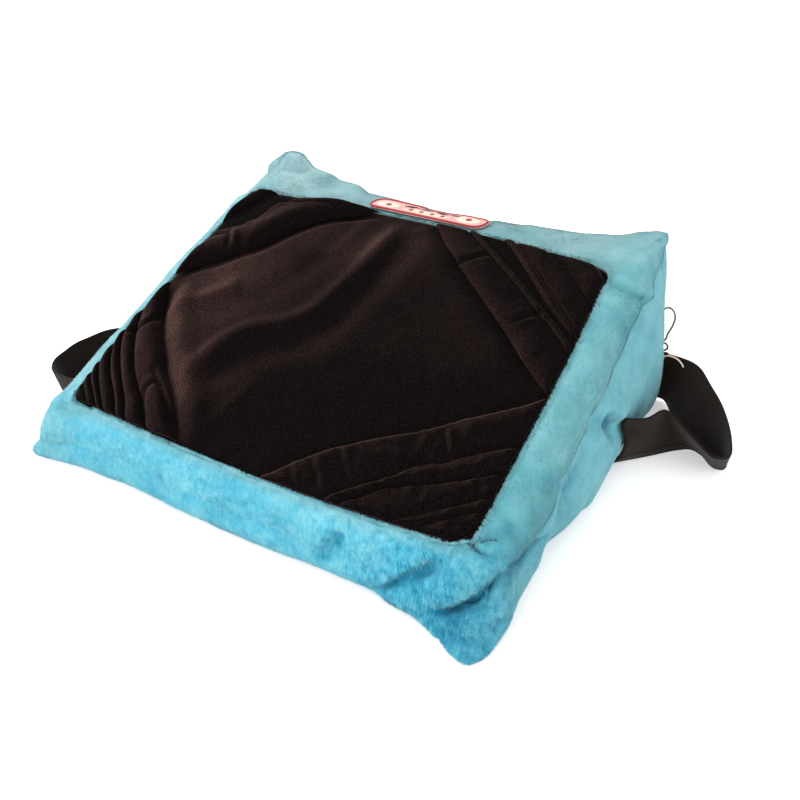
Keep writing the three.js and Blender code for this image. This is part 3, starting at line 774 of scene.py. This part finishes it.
# Soft patches of painted shade and light on the blue, darkest in the folded near right corner and at its
# foot: middle, reach and change
BLUE_LIGHT_AND_SHADE = [
    ((150, -122, 40), 34, -0.12), ((122, -136, 12), 34, -0.17), ((158, -130, 12), 26, -0.12),
    ((168, -92, 30), 30, -0.10), ((10, -132, 34), 64, -0.06), ((160, 100, 130), 46, 0.04),
    ((-130, 120, 138), 44, 0.32), ((168, -100, 12), 26, -0.06), ((166, -60, 30), 40, -0.12),
    ((172, 40, 30), 34, -0.08), ((164, -97, 36), 9, -0.40), ((150, -140, 8), 20, -0.20),
    ((-150, -125, 24), 44, -0.07),
]

# The blue's own tone from 0 to 1, its mottle, and what darkens or lifts it: painted shade in creases and on
# the cloth under the pile, painted light towards the top of the border, and the seam's shade
BLUE = dict(tone=0.64, crease_shade=-0.5, top_light=0.06, seam=-0.02, skin=-0.1)
BLUE_MOTTLE = [(24, 11, 0.08), (8, 12, 0.08)]
base_tone = BLUE["tone"] + mottle(points, BLUE_MOTTLE) + BLUE["crease_shade"] * crease_shade
for middle, reach, change in BLUE_LIGHT_AND_SHADE:
    base_tone += change * bump(np.linalg.norm(points - middle, axis=1), reach)
base_tone += BLUE["top_light"] * top_light + BLUE["seam"] * seam_shade

blue_cloth = blue_material("blue_plush", (900.0, 0.6, 160.0, 0.3))
case = finish_piece(case_piece(), blue_cloth, "blue_plush", "cushion")
# Painted shade: the cloth under the pile is a little darker than the blades, so the gaps between them look
# deep
skin = nap_light_colour(np.clip(base_tone + BLUE["skin"], 0, 1), nap_sides)
# Painted shadow: the bed under the panel's edge is painted near black, a dark line where the border meets
# the panel
seam_shadow = np.array(srgb(14, 10, 10)[:3])
paint(case, np.concatenate([skin, np.tile(seam_shadow, (len(case.data.vertices) - len(skin), 1))]))

# Where each quad lies, and how its pile stands: blades to a square millimetre, length, width and lean
quad_ring = np.arange(len(faces)) // ring_count
quad_side = np.tile(np.repeat(list(SIDE_POINTS), list(SIDE_POINTS.values())), LAST_RING)
seam_steps = np.linalg.norm(np.diff(rings[WALL_STEPS], axis=0), axis=1)
round_length = np.concatenate([[0], np.cumsum(seam_steps)])
PILE = [
    dict(name="pile_front", side="front", rings=(0, LAST_RING), density=6.0, width=0.36),
    dict(name="pile_right", side="right", rings=(0, LAST_RING), density=5.0, width=0.36),
    dict(name="pile_back_border", side="back", rings=(WALL_STEPS, LAST_RING), density=5.0, width=0.36),
    dict(name="pile_back", side="back", rings=(0, WALL_STEPS), density=2.0, width=0.6),
    dict(name="pile_left", side="left", rings=(0, LAST_RING), density=2.8, width=0.5),
]
PILE_LENGTH = dict(front=1.7, front_top=1.7, right=1.2, back=1.4, back_wall=1.6, left=1.6, gusset=1.2)
PILE_LEAN = dict(
    front=(0.15, -0.9, -1.0), front_top=(0.15, -0.9, -1.0), right=(0.5, -0.7, -1.0),
    gusset=(0.2, 0.2, -1.2), back=(0.4, -2.1, -0.7), back_wall=(0.2, 0.2, -1.0), left=(-0.5, -0.5, -0.8),
)

# How unruly the pile is: its lean in wide swirls, in small tufts and blade by blade, how flat a blade
# may lie, how far it turns, how deep its foot is, and how its length varies
STRAY = dict(swirl=0.35, tuft=0.16, blade=0.14, flattest=0.35, turn=0.15, foot=0.3, short=0.65, vary=0.5)

# The cloth's rows show where it is stretched: how far apart they lie, how dark they are, and how far
# it is stretched everywhere and in patches
ROWS = dict(apart=2.2, dark=0.22, least=0.05, patches=0.45)

# The pile clumps in two sizes and in streaks drawn out one way, less so on some sides
CLUMPS = [(2.4, 32, 0.13), (5, 33, 0.10)]
STREAKS = dict(across=1.5, drawn=np.array([1, 0.35, 0.35]), strength=0.10)
CALM_SIDES = dict(back=0.6, gusset=0.4, right=0.35)

# A blade is painted darker at its two feet than at its tip, as shade deep in the pile
BLADE_SHADE = (-0.12, -0.12, 0.12)

# Pile over the panel's edge: blades to a millimetre, width, shortest, how much longer some are
FRINGE = dict(density=15, width=0.4, short=1.5, vary=1.1)


def along_quads(values, quads, u, v):
    """Values of the quads' corners, blended at places inside them."""
    a, b, c, d = (values[faces[quads, k]] for k in range(4))
    return mix(mix(a, b, u), mix(d, c, u), v)


def blades(name, rng, root, up, way, tall, width):
    """Pile as one piece: three-cornered blades that face outwards, shaded as the cloth under them."""
    way = unit(way)
    half = unit(np.cross(way, up + rng.normal(0, STRAY["turn"], up.shape))) * width / 2
    foot = up * STRAY["foot"]
    corners = np.stack([root - half - foot, root + half - foot, root + way * tall], axis=1).reshape(-1, 3)
    corners[:, 2] = np.maximum(corners[:, 2], 0)
    piece = make_mesh(name, corners, np.arange(len(corners)).reshape(-1, 3))
    piece.data.normals_split_custom_set_from_vertices(unit(up + way * 0.1).repeat(3, axis=0))
    return piece


def pile_tone(root, tone, place, sides):
    """The tones of blades, from the case's own tone and their place round it."""
    near_corner = smooth((root[:, 0] - 40) / 60) * smooth((-root[:, 1] - 90) / 30)
    rows = 0.5 + 0.5 * np.cos(2 * np.pi * place / ROWS["apart"])
    stretched = smooth(noise_at(root, 26, 31) * 1.6) * ROWS["patches"] + ROWS["least"]
    stretched += near_corner * (0.3 + 0.5 * smooth(0.5 + noise_at(root, 17, 34)))
    streaks = STREAKS["strength"] * noise_at(root * STREAKS["drawn"], STREAKS["across"], 35)
    calm = sum(share * sides[side] for side, share in CALM_SIDES.items())
    tone += (mottle(root, CLUMPS) + streaks) * (1 - calm + 0.7 * near_corner)
    return tone + 0.06 - ROWS["dark"] * stretched * (1 - rows)


def pile_piece(row, seed):
    """Blades on part of the case as one piece: they gather in tufts and stand in the cloth's rows."""
    rng = np.random.default_rng(seed)
    low, high = row["rings"]
    quads = np.where((quad_side == row["side"]) & (quad_ring >= low) & (quad_ring < high))[0]
    a, b, c, d = (points[faces[quads, k]] for k in range(4))
    area = 0.5 * np.linalg.norm(np.cross(c - a, d - b), axis=1)
    count = int(area.sum() * row["density"])
    pick = quads[rng.choice(len(quads), count, p=area / area.sum())]
    u = rng.random(count)[:, None]
    v = rng.random(count)[:, None]
    root = along_quads(points, pick, u, v)
    up = unit(along_quads(case_normals, pick, u, v))
    sides = {side: along_quads(nap_sides[side][:, None], pick, u, v) for side in NAP_LIGHT}
    lean = sum(sides[side] * np.array(PILE_LEAN[side]) for side in NAP_LIGHT)
    swirl = noise_vectors(root, 16, 21) * STRAY["swirl"]
    tuft = noise_vectors(root, 2.6, 24) * STRAY["tuft"]
    way = up + swirl + tuft + rng.normal(0, STRAY["blade"], (count, 3)) + lean
    way -= up * np.minimum(0, (way * up).sum(axis=1) - STRAY["flattest"])[:, None]
    tall = sum(sides[side] * PILE_LENGTH[side] for side in NAP_LIGHT)
    tall = tall * (STRAY["short"] + STRAY["vary"] * rng.random(count))[:, None]
    edge = along_quads(heights[:, None], pick, u, v)
    tall = tall * (1 + 0.25 * smooth((edge - 1.9) / 0.1))
    piece = blades(row["name"], rng, root, up, way, tall, row["width"])
    sides = {side: sides[side][:, 0] for side in NAP_LIGHT}
    place = np.interp(pick % ring_count + u[:, 0], np.arange(ring_count), round_length)
    tone = along_quads(base_tone[:, None], pick, u, v)[:, 0] + rng.normal(0, 0.08, count)
    tone = pile_tone(root, tone, place, sides).repeat(3) + np.tile(BLADE_SHADE, count)
    paint(piece, nap_light_colour(np.clip(tone, 0, 1), {side: sides[side].repeat(3) for side in NAP_LIGHT}))
    return piece


def fringe_piece(seed):
    """Pile of the border that leans in over the panel's edge."""
    rng = np.random.default_rng(seed)
    ring = points[-ring_count:]
    inner = points[-3 * ring_count : -2 * ring_count]
    step = np.linalg.norm(np.roll(ring, -1, axis=0) - ring, axis=1)
    count = int(step.sum() * FRINGE["density"])
    pick = rng.choice(ring_count, count, p=step / step.sum())
    after = (pick + 1) % ring_count
    u = rng.random(count)[:, None]
    v = rng.random(count)[:, None] ** 1.5
    root = mix(mix(ring[pick], ring[after], u), mix(inner[pick], inner[after], u), v)
    up = np.tile(FACE_UP, (count, 1))
    to_x = PANEL["x"] - root[:, 0]
    to_y = face_to_y(PANEL["t"]) - root[:, 1]
    inward_x = np.where(abs(to_x) / WIDTH > abs(to_y) / DEPTH, np.sign(to_x), 0)
    inward_y = np.where(inward_x == 0, np.sign(to_y), 0)
    inward = np.stack([inward_x, inward_y, inward_y * math.tan(SLOPE)], axis=1)
    way = up * 0.9 + inward * (0.55 + 0.4 * rng.random((count, 1))) + rng.normal(0, 0.3, (count, 3))
    way += 0.4 * noise_vectors(root, 5, 61)
    tall = (FRINGE["short"] + FRINGE["vary"] * rng.random(count))[:, None]
    piece = blades("pile_fringe", rng, root, up, way, tall, FRINGE["width"])
    tone = 0.66 + rng.normal(0, 0.07, count) + 0.12 * noise_at(root, 7, 64)
    sides = {side: nap_sides[side][-ring_count:][pick].repeat(3) for side in NAP_LIGHT}
    paint(piece, nap_light_colour(np.clip(tone.repeat(3), 0, 1), sides))
    return piece


blue_pile = blue_material("blue_pile")
for number, row in enumerate(PILE):
    finish_piece(pile_piece(row, SEED + number), blue_pile, "blue_plush")
finish_piece(fringe_piece(SEED + 20), blue_pile, "blue_plush")


def into_panel(x, t):
    """The place in the panel's square of spots on the face."""
    px = (x - PANEL["x"]) / PANEL["half_x"]
    pt = (t - PANEL["t"]) / PANEL["half_t"]
    for _ in range(6):
        size = np.maximum(np.maximum(abs(px), abs(pt)), 1e-9)
        at_x, at_y = panel_points(px / size, pt / size, size)
        px = px + (x - at_x) / PANEL["half_x"]
        pt = pt + (t - y_to_face(at_y)) / PANEL["half_t"]
    return px, pt


def on_face(x, t, lift):
    """Spots of the face, lifted over the panel's top along the face's own normal."""
    return np.stack([x, face_to_y(t), face_surface(x, t)], axis=-1) + FACE_UP * np.asarray(lift)[..., None]


EDGE_DROP = 0.9


def edge_drop(size):
    """How far the panel and the pockets dip under the border's pile at the panel's edge."""
    return EDGE_DROP * smooth((size - 0.955) / 0.045)


# The brown panel
def panel_piece(across=150, deep=116, thick=1.8):
    u, v = np.meshgrid(np.linspace(-1, 1, across + 1), np.linspace(-1, 1, deep + 1))
    size = np.maximum(np.maximum(abs(u), abs(v)), 1e-9)
    x, y = panel_points(u / size, v / size, size, 0.8)
    t = y_to_face(y)
    fine = 0.12 * noise_at(flat_points(x, t), 12, 41).reshape(x.shape) - edge_drop(size)
    return sheet_mesh("centre_panel_cloth", on_face(x, t, fine - thick), on_face(x, t, fine))


# The brown's tones, the way painted light makes it paler towards, and its mottle
brown = brown_material()
BROWN = ((12, 8, 8), (36, 25, 24), (72, 52, 48))
LIT_SIDE = np.array([-1, 0.25, 0])
BROWN_MOTTLE = [(22, 51, 0.05), (5, 52, 0.03)]

# Soft patches of painted light and shade on the brown: middle x and t on the face, reach along each, change
BROWN_LIGHT_AND_SHADE = [
    ((-108, 92), (30, 34), 0.50), ((-92, 140), (40, 34), 0.42), ((-40, 98), (44, 16), 0.12),
    ((-74, 44), (24, 28), 0.46), ((-125, 40), (26, 30), 0.20), ((-6, 196), (28, 40), 0.34),
    ((-60, 190), (40, 24), 0.24), ((-128, 205), (24, 30), -0.12), ((92, 128), (44, 26), 0.10),
    ((-30, 48), (34, 24), -0.05), ((30, 40), (40, 20), -0.10), ((60, 74), (60, 26), -0.05),
]


def paint_brown_light(piece, shade=0.0):
    """Painted light on the brown nap: paler where the cloth slopes away to the left, towards the light, and
    in soft patches of painted light and shade.
    """
    mesh = piece.data
    facing = np.empty(len(mesh.vertices) * 3, dtype=np.float32)
    mesh.vertices.foreach_get("normal", facing)
    spots = np.empty_like(facing)
    mesh.vertices.foreach_get("co", spots)
    spots = spots.reshape(-1, 3).astype(float) / MM
    tone = 0.05 + 0.8 * (facing.reshape(-1, 3) @ LIT_SIDE + 0.1) - shade
    across, along = spots[:, 0], y_to_face(spots[:, 1])
    for (x, t), (wide, deep), change in BROWN_LIGHT_AND_SHADE:
        tone += change * bump(across - x, wide) * bump(along - t, deep)
    paint(piece, ramp(BROWN, np.clip(tone + mottle(spots, BROWN_MOTTLE), 0, 1)))


panel = finish_piece(panel_piece(), brown, "brown_plush", "centre_panel")
paint_brown_light(panel)

# The corner pockets: how far they reach towards the panel's edge, how far their cloth lies off the
# panel, how thin it is at the rolled edge, and how much thicker behind it
POCKET_REACH = 0.988
POCKET_CLOTH = dict(gap=0.5, edge=0.25, fuller=1.25)


def even_points(line, count):
    """Evenly spaced points on a line of the face."""
    lengths = np.concatenate([[0], np.cumsum(np.linalg.norm(np.diff(line, axis=0), axis=1))])
    even = np.linspace(0, lengths[-1], count)
    return np.stack([np.interp(even, lengths, line[:, k]) for k in range(2)], axis=1)


def resample(line, count):
    """Evenly spaced points on a smoothed line, cut where it leaves the panel."""
    spots = even_points(soften(line, 3), 400)
    px, pt = into_panel(spots[:, 0], spots[:, 1])
    outside = np.maximum(abs(px), abs(pt)) / POCKET_REACH
    inside = np.where(outside <= 1)[0]
    if len(inside) > 20:
        spots = spots[inside[0] : inside[-1] + 1]
    else:
        px, pt = px / np.maximum(1, outside), pt / np.maximum(1, outside)
        size = np.maximum(abs(px), abs(pt))
        x, y = panel_points(px / size, pt / size, size)
        spots = np.stack([x, y_to_face(y)], axis=1)
    return even_points(spots, count + 1)


# Short seams pressed into the pockets: lines of x and t on the face
POCKET_MARKS = dict(
    near_left=[
        [(-139, 62), (-130, 70), (-126, 73), (-124, 81), (-127, 90)],
        [(-79, 9), (-88, 19), (-94, 27), (-93, 32), (-89, 36), (-82, 33), (-73, 26), (-62, 19)],
        [(-100, 47), (-95, 41), (-88, 37), (-78, 30), (-69, 23), (-58, 12)],
    ],
    far_left=[
        [(-139, 159), (-137, 164), (-130, 167), (-122, 165), (-116, 159), (-115, 152)],
        [(-130, 176), (-122, 168), (-116, 159)],
        [(-115, 199), (-112, 212), (-102, 216), (-75, 216), (-59, 219)],
    ],
    far_right=[[(50, 190), (60, 197), (69, 209)], [(109, 155), (116, 163), (122, 169)]],
    near_right=[
        [(104, 68), (107, 62), (113, 54)],
        [(50, 37), (56, 29), (66, 20)],
        [(24, 19), (30, 15), (36, 7)],
        [(36, 27), (44, 20), (50, 12)],
    ],
)


def pocket_piece(name, item, along=100, steps=13):
    """A pleated pocket on the face, its open edge rolled under."""
    lines = [resample(line, along) for line in item["lines"]]
    spots = []
    stand = []
    for k, (height, roundness) in enumerate(item["bands"]):
        wide = np.linalg.norm(lines[k + 1] - lines[k], axis=1)
        early = 0.06 if k == 0 else 0
        for s in np.arange(steps) / steps:
            arch = math.sin(math.pi * (s + early) / (1 + early)) ** roundness
            spots.append(mix(lines[k], lines[k + 1], s))
            stand.append(height * arch * np.minimum(1, wide / (height * 1.6)))
    spots = np.array([*spots, lines[-1]])
    stand = np.array([*stand, np.zeros(along + 1)])
    x, t = spots[..., 0], spots[..., 1]
    px, pt = into_panel(x.ravel(), t.ravel())
    drop = edge_drop(np.maximum(abs(px), abs(pt))).reshape(x.shape)
    flat = flat_points(x, t)
    ripple = noise_at(flat + 7, 5, 43) * item["gather"] + noise_at(flat, 14, 44) * 0.5
    marks = [crease(line, width=1.8, depth=1.7, ridge=0.7, at=4) for line in POCKET_MARKS[name]]
    ripple = (ripple.reshape(x.shape) + pressed(x, t, marks)) * np.minimum(1, stand / 2)
    stand = np.maximum(stand + ripple, 0) * (1 - 0.4 * drop / EDGE_DROP) - drop
    roll = np.minimum(np.arange(len(spots)) / 2.5, 1)[:, None]
    thick = POCKET_CLOTH["edge"] + POCKET_CLOTH["fuller"] * np.sqrt(1 - (1 - roll) ** 2) * np.ones(x.shape)
    lower = on_face(x, t, POCKET_CLOTH["gap"] + stand)
    upper = on_face(x, t, POCKET_CLOTH["gap"] + stand + thick)
    # Painted shade: the pocket's cloth is darker where it lies low on the panel and where it dips under the
    # border
    low = (1 - np.minimum(stand + drop, 2) / 2) * 0.3 + drop * 0.1
    a = lower[1, 0] - lower[0, 0]
    b = lower[0, 1] - lower[0, 0]
    if a[0] * b[1] - a[1] * b[0] > 0:
        lower, upper, low = lower[:, ::-1], upper[:, ::-1], low[:, ::-1]
    piece = sheet_mesh(f"pocket_{name}_cloth", lower, upper)
    finish_piece(piece, brown, "brown_plush", "pocket_" + name)
    paint_brown_light(piece, np.tile(low.ravel(), 2))


for name, item in POCKETS.items():
    pocket_piece(name, item)

# The patch: its place and size on the face, and how far its cloth's two sides stand off the case
PATCH = dict(x=2, t=245, half_x=47, half_t=11, radius=9, under=1.2, top=2.6)
case_tree = BVHTree.FromPolygons([tuple(p) for p in points], [tuple(f) for f in faces])
HIGH_ABOVE = 400


def on_case(x, t, lift):
    """The case's upper surface at a spot of the face, pushed out along its normal."""
    spot, normal, _, _ = case_tree.ray_cast(Vector((x, face_to_y(t), HIGH_ABOVE)), Vector((0, 0, -1)))
    return tuple(spot + normal * lift)


def patch_spot(a, b, over, share=None):
    """A spot of the patch at a place of the square, or at a share of the way to its edge."""
    size = max(abs(a), abs(b), 1e-9)
    px, pt, _, _ = rounded_point(a / size, b / size, PATCH["half_x"], PATCH["half_t"], PATCH["radius"])
    scale = share or size
    return on_case(PATCH["x"] + px * scale, PATCH["t"] + pt * scale, over)


def patch_grid(over, across=80, up=20):
    ups = np.linspace(-1, 1, up + 1)
    return np.array([[patch_spot(a, b, over) for a in np.linspace(-1, 1, across + 1)] for b in ups])


def thread(name, colour, rough=0.8):
    """Thread or felt of one colour."""
    return new_material(name, (1500.0, 0.5, 300.0, 0.2), Base_Color=colour, Roughness=rough)[0]


patch_piece = sheet_mesh("patch_cloth", patch_grid(PATCH["under"]), patch_grid(PATCH["top"]))
finish_piece(patch_piece, thread("patch_field", srgb(214, 160, 152), 0.85), "patch_thread", "patch")


def tube_piece(name, path, radius, material, slot, closed=False, nodes=()):
    """A round cord or wire through points in millimetres."""
    curve = bpy.data.curves.new(name, "CURVE")
    curve.dimensions = "3D"
    curve.bevel_depth = radius * MM
    curve.bevel_resolution = 2
    curve.use_fill_caps = not closed
    line = curve.splines.new("BEZIER")
    line.bezier_points.add(len(path) - 1)
    for knot, spot in zip(line.bezier_points, path):
        knot.co = Vector(spot) * MM
        knot.handle_left_type = "AUTO"
        knot.handle_right_type = "AUTO"
    line.use_cyclic_u = closed
    line.resolution_u = 8
    return finish_piece(add_object(name, curve), material, slot, *nodes)


red_thread = thread("patch_edge", srgb(150, 34, 44), 0.7)
cream_thread = thread("patch_cream", srgb(226, 200, 184))
grey_thread = thread("patch_grey", srgb(84, 92, 92))
dark_thread = thread("patch_dark", srgb(24, 20, 20))

# Stitched shapes on the patch: middle along and up, half sizes, turn in degrees, whether pointed,
# height and thread. Two ovals and a long one, diamonds on them, and leaves above
MOTIFS = [
    *((x, 0, 9.5, 7, 0, False, 0.3, cream_thread) for x in (-33, 33)),
    (0, -2.5, 20, 4.6, 0, False, 0.3, cream_thread),
    *((x, 0, 2.6, 3.2, 0, True, 0.6, red_thread) for x in (-33, 33)),
    *((x, -2.5, 2, 2.6, 0, True, 0.6, red_thread) for x in (-13, -4.4, 4.4, 13)),
    (-16, 5.4, 6, 1.7, 12, True, 0.4, dark_thread),
    (-4, 6.2, 6, 1.8, 4, True, 0.4, grey_thread),
    (9, 6.0, 6, 1.8, -6, True, 0.4, dark_thread),
    (20, 5.0, 5, 1.6, -14, True, 0.4, grey_thread),
]


def motif_grid(motif, over, steps=8):
    """Spots of a stitched shape on the patch."""
    middle_x, middle_t, half_x, half_t, turn, pointed = motif[:6]
    angle = math.radians(turn)
    grid = []
    for b in np.linspace(-1, 1, steps + 1):
        line = []
        for a in np.linspace(-1, 1, steps + 1):
            spread = abs(a) + abs(b) if pointed else math.hypot(a, b)
            scale = max(abs(a), abs(b)) / spread if spread else 0
            px, pt = a * scale * half_x, b * scale * half_t
            x = PATCH["x"] + middle_x + px * math.cos(angle) - pt * math.sin(angle)
            t = PATCH["t"] + middle_t + px * math.sin(angle) + pt * math.cos(angle)
            line.append(on_case(x, t, over))
        grid.append(line)
    return np.array(grid)


for number, motif in enumerate(MOTIFS):
    height, material = motif[6:]
    upper = motif_grid(motif, PATCH["top"] + height)
    shape = sheet_mesh(f"patch_motif_{number}", motif_grid(motif, PATCH["top"] - 0.1), upper)
    finish_piece(shape, material, "patch_thread")
edge_path = []
for k in range(96):
    turn = 2 * math.pi * k / 96
    edge_path.append(patch_spot(math.cos(turn), math.sin(turn), PATCH["top"], 0.985))
tube_piece("patch_rim", edge_path, 0.8, red_thread, "patch_thread", closed=True)

# Straps: stations of the webbing, its top edge and foot in the air, or a place on the wall
STRAPS = dict(
    right=[
        [(1, 0.36)], [(190, 61, 38), (195, 73, 1)], [(198, 78, 37), (209, 88, 1)],
        [(211, 73, 32), (218, 94, 1)], [(223, 66, 28), (227, 90, 1)], [(237, 57, 26), (236, 81, 1)],
        [(245, 62, 26), (242, 82, 1)], [(242, 78, 30), (241, 89, 1)], [(230, 104, 35), (227, 98, 1)],
        [(217, 123, 38), (208, 113, 1)], [(203, 140, 41), (194, 131, 1)], [(186, 147, 40), (182, 146, 2)],
        [(0.9, 1)], [(0.8, 1)],
    ],
    left=[
        [(-1, 0.08)], [(-203, -15, 36), (-189, -12, 1)], [(-216, -29, 35), (-199, -28, 1)],
        [(-219, -42, 35), (-204, -42, 1)], [(-221, -54, 35), (-206, -54, 1)],
        [(-219, -67, 35), (-204, -66, 1)], [(-216, -79, 35), (-199, -79, 1)],
        [(-203, -92, 36), (-190, -92, 1)], [(-1, -0.76)],
    ],
)
STRAP_THICKNESS = 1.5
STRAP_HEM = dict(at=0.13, width=0.035, height=0.5)
ON_WALL = dict(low=4, high=42, lift=1.8)


def on_wall(place, height):
    """The spot off the wall at a place of the square and a height, found by halving."""
    qx, qy = np.array(place, float)[:, None]
    low, high = 0.0, 1.0
    for _ in range(24):
        middle = (low + high) / 2
        if wall_ring(qx, qy, middle)[0, 2] < height:
            low = middle
        else:
            high = middle
    _, _, _, out_x, out_y, _, _ = seam_points(qx, qy)
    spot = wall_ring(qx, qy, low)[0]
    return np.array([spot[0] + out_x[0] * ON_WALL["lift"], spot[1] + out_y[0] * ON_WALL["lift"], height])


def catmull(points, count):
    """A smooth line through points, evenly stepped between them, as centripetal splines go."""
    points = [2 * points[0] - points[1], *points, 2 * points[-1] - points[-2]]
    line = []
    for k in range(1, len(points) - 2):
        p0, p1, p2, p3 = points[k - 1 : k + 3]
        t1 = max(np.linalg.norm(p1 - p0), 1e-6) ** 0.5
        t2 = t1 + max(np.linalg.norm(p2 - p1), 1e-6) ** 0.5
        t3 = t2 + max(np.linalg.norm(p3 - p2), 1e-6) ** 0.5
        for s in range(count):
            t = mix(t1, t2, s / count)
            a1 = mix(p0, p1, t / t1)
            a2 = mix(p1, p2, (t - t1) / (t2 - t1))
            a3 = mix(p2, p3, (t - t2) / (t3 - t2))
            line.append(mix(mix(a1, a2, t / t2), mix(a2, a3, (t - t1) / (t3 - t1)), (t - t1) / (t2 - t1)))
    line.append(points[-2])
    return np.array(line)


strap_cloth = webbing_material()


def strap_piece(side, stations, across=48, steps=8):
    """A strap's webbing, thicker along its hem."""
    lines = []
    for f in np.linspace(0, 1, across + 1):
        knots = []
        for place in stations:
            if len(place) == 1:
                knots.append(on_wall(place[0], mix(ON_WALL["low"], ON_WALL["high"], f)))
            else:
                top, foot = np.array(place, float)
                knots.append(mix(foot, top, f))
        lines.append(catmull(knots, steps))
    grid = np.stack(lines, axis=1)
    out = unit(np.cross(np.gradient(grid, axis=0), np.gradient(grid, axis=1)))
    share = np.linspace(0, 1, across + 1)
    hem = bump(share - STRAP_HEM["at"], STRAP_HEM["width"]) * STRAP_HEM["height"]
    thin = (STRAP_THICKNESS / 2 + hem)[None, :, None]
    piece = sheet_mesh(f"strap_{side}_webbing", grid + out * thin, grid - out * thin)
    finish_piece(piece, strap_cloth, "webbing", "strap_" + side)


for side, stations in STRAPS.items():
    strap_piece(side, stations)

# The hook at the strap's far end: a tab, a small ring and a wire loop
TAB = dict(at=(178.4, 143.5, 39.4), half=(2.4, 0.8, 3.6), bow=0.5, near=0.4)
RING = dict(at=(176.4, 143.7, 47.3), radius=3, wire=0.8)
HOOK = dict(y=143.7, wire=0.75, path=[
    (175, 52.2), (177.8, 59), (180, 66.5), (180.3, 73), (178, 77.5), (174.5, 78.8), (171.4, 76),
    (170.4, 69), (171.6, 60),
])
steel = new_material(
    "dark_steel", (2000.0, 0.15, 500.0, 0.1), Base_Color=srgb(120, 108, 98), Metallic=1.0, Roughness=0.38,
)[0]
ring_path = []
for k in range(16):
    turn = 2 * math.pi * k / 16
    reach = RING["radius"] * np.array([math.cos(turn), 0, math.sin(turn)])
    ring_path.append(RING["at"] + reach)
tube_piece("hook_ring_metal", ring_path, RING["wire"], steel, "dark_steel", closed=True, nodes=["hook_ring"])
hook_path = [(x, HOOK["y"], z) for x, z in HOOK["path"]]
tube_piece("hook_wire_metal", hook_path, HOOK["wire"], steel, "dark_steel", closed=True, nodes=["hook_wire"])
u, v = np.meshgrid(np.linspace(-1, 1, 7), np.linspace(-1, 1, 7))
tab_grid = TAB["at"] + np.stack([u * TAB["half"][0], -TAB["bow"] * (1 - v * v), v * TAB["half"][2]], axis=-1)
tab_far = tab_grid + np.array([0, TAB["half"][1], 0])
tab_piece = sheet_mesh("hook_tab_webbing", tab_far, tab_grid - np.array([0, TAB["near"], 0]))
finish_piece(tab_piece, strap_cloth, "webbing", "hook_tab")

# A pale cord end that curves along the top of the strap
CORD = [
    (178.6, 141.7, 40.4), (181, 141.9, 41.5), (185, 142, 41.6), (188, 141.6, 41), (191, 140.8, 39.6),
    (194, 139.3, 37),
]
tube_piece("cord_end", CORD, 0.6, cream_thread, "patch_thread")

# A pale floor and soft studio light
bpy.ops.mesh.primitive_plane_add(size=12, location=(0, 0, -0.0004))
floor = bpy.context.object
floor.name = "floor"
pale_floor = new_material(
    "floor", Base_Color=(0.9, 0.9, 0.9, 1), Roughness=0.9,
    Emission_Color=(1, 1, 1, 1), Emission_Strength=0.3,
)[0]
floor.data.materials.append(pale_floor)

world = bpy.data.worlds.new("studio")
world.use_nodes = True
background = world.node_tree.nodes["Background"]
background.inputs["Color"].default_value = (1, 1, 1, 1)
background.inputs["Strength"].default_value = 0.95
bpy.context.scene.world = world

LIGHTS = [
    dict(name="key", at=(-1.1, 0.4, 1.4), size=1.2, power=18),
    dict(name="front", at=(-0.3, -1.7, 0.9), size=1.6, power=26),
    dict(name="side", at=(1.6, -0.2, 0.7), size=1.4, power=9),
]
LIT_SPOT = Vector((0, 0, 0.05))
for row in LIGHTS:
    lamp = bpy.data.lights.new(row["name"], "AREA")
    lamp.shape = "DISK"
    lamp.size = row["size"]
    lamp.energy = row["power"]
    light = add_object(row["name"], lamp)
    light.location = row["at"]
    light.rotation_euler = (LIT_SPOT - Vector(row["at"])).to_track_quat("-Z", "Y").to_euler()

# The camera at the photo's angle
CAMERA = dict(at=(0.278, -0.4219, 0.3633), azimuth=29.9, down=33.9, lens=38.25)
camera_data = bpy.data.cameras.new("camera")
camera_data.sensor_width = 36
camera_data.lens = CAMERA["lens"]
camera_data.clip_start = 0.01
camera = add_object("camera", camera_data)
camera.location = CAMERA["at"]
camera.rotation_euler = (math.radians(90 - CAMERA["down"]), 0, math.radians(CAMERA["azimuth"]))
bpy.context.scene.camera = camera
bpy.context.scene.view_settings.view_transform = "Standard"
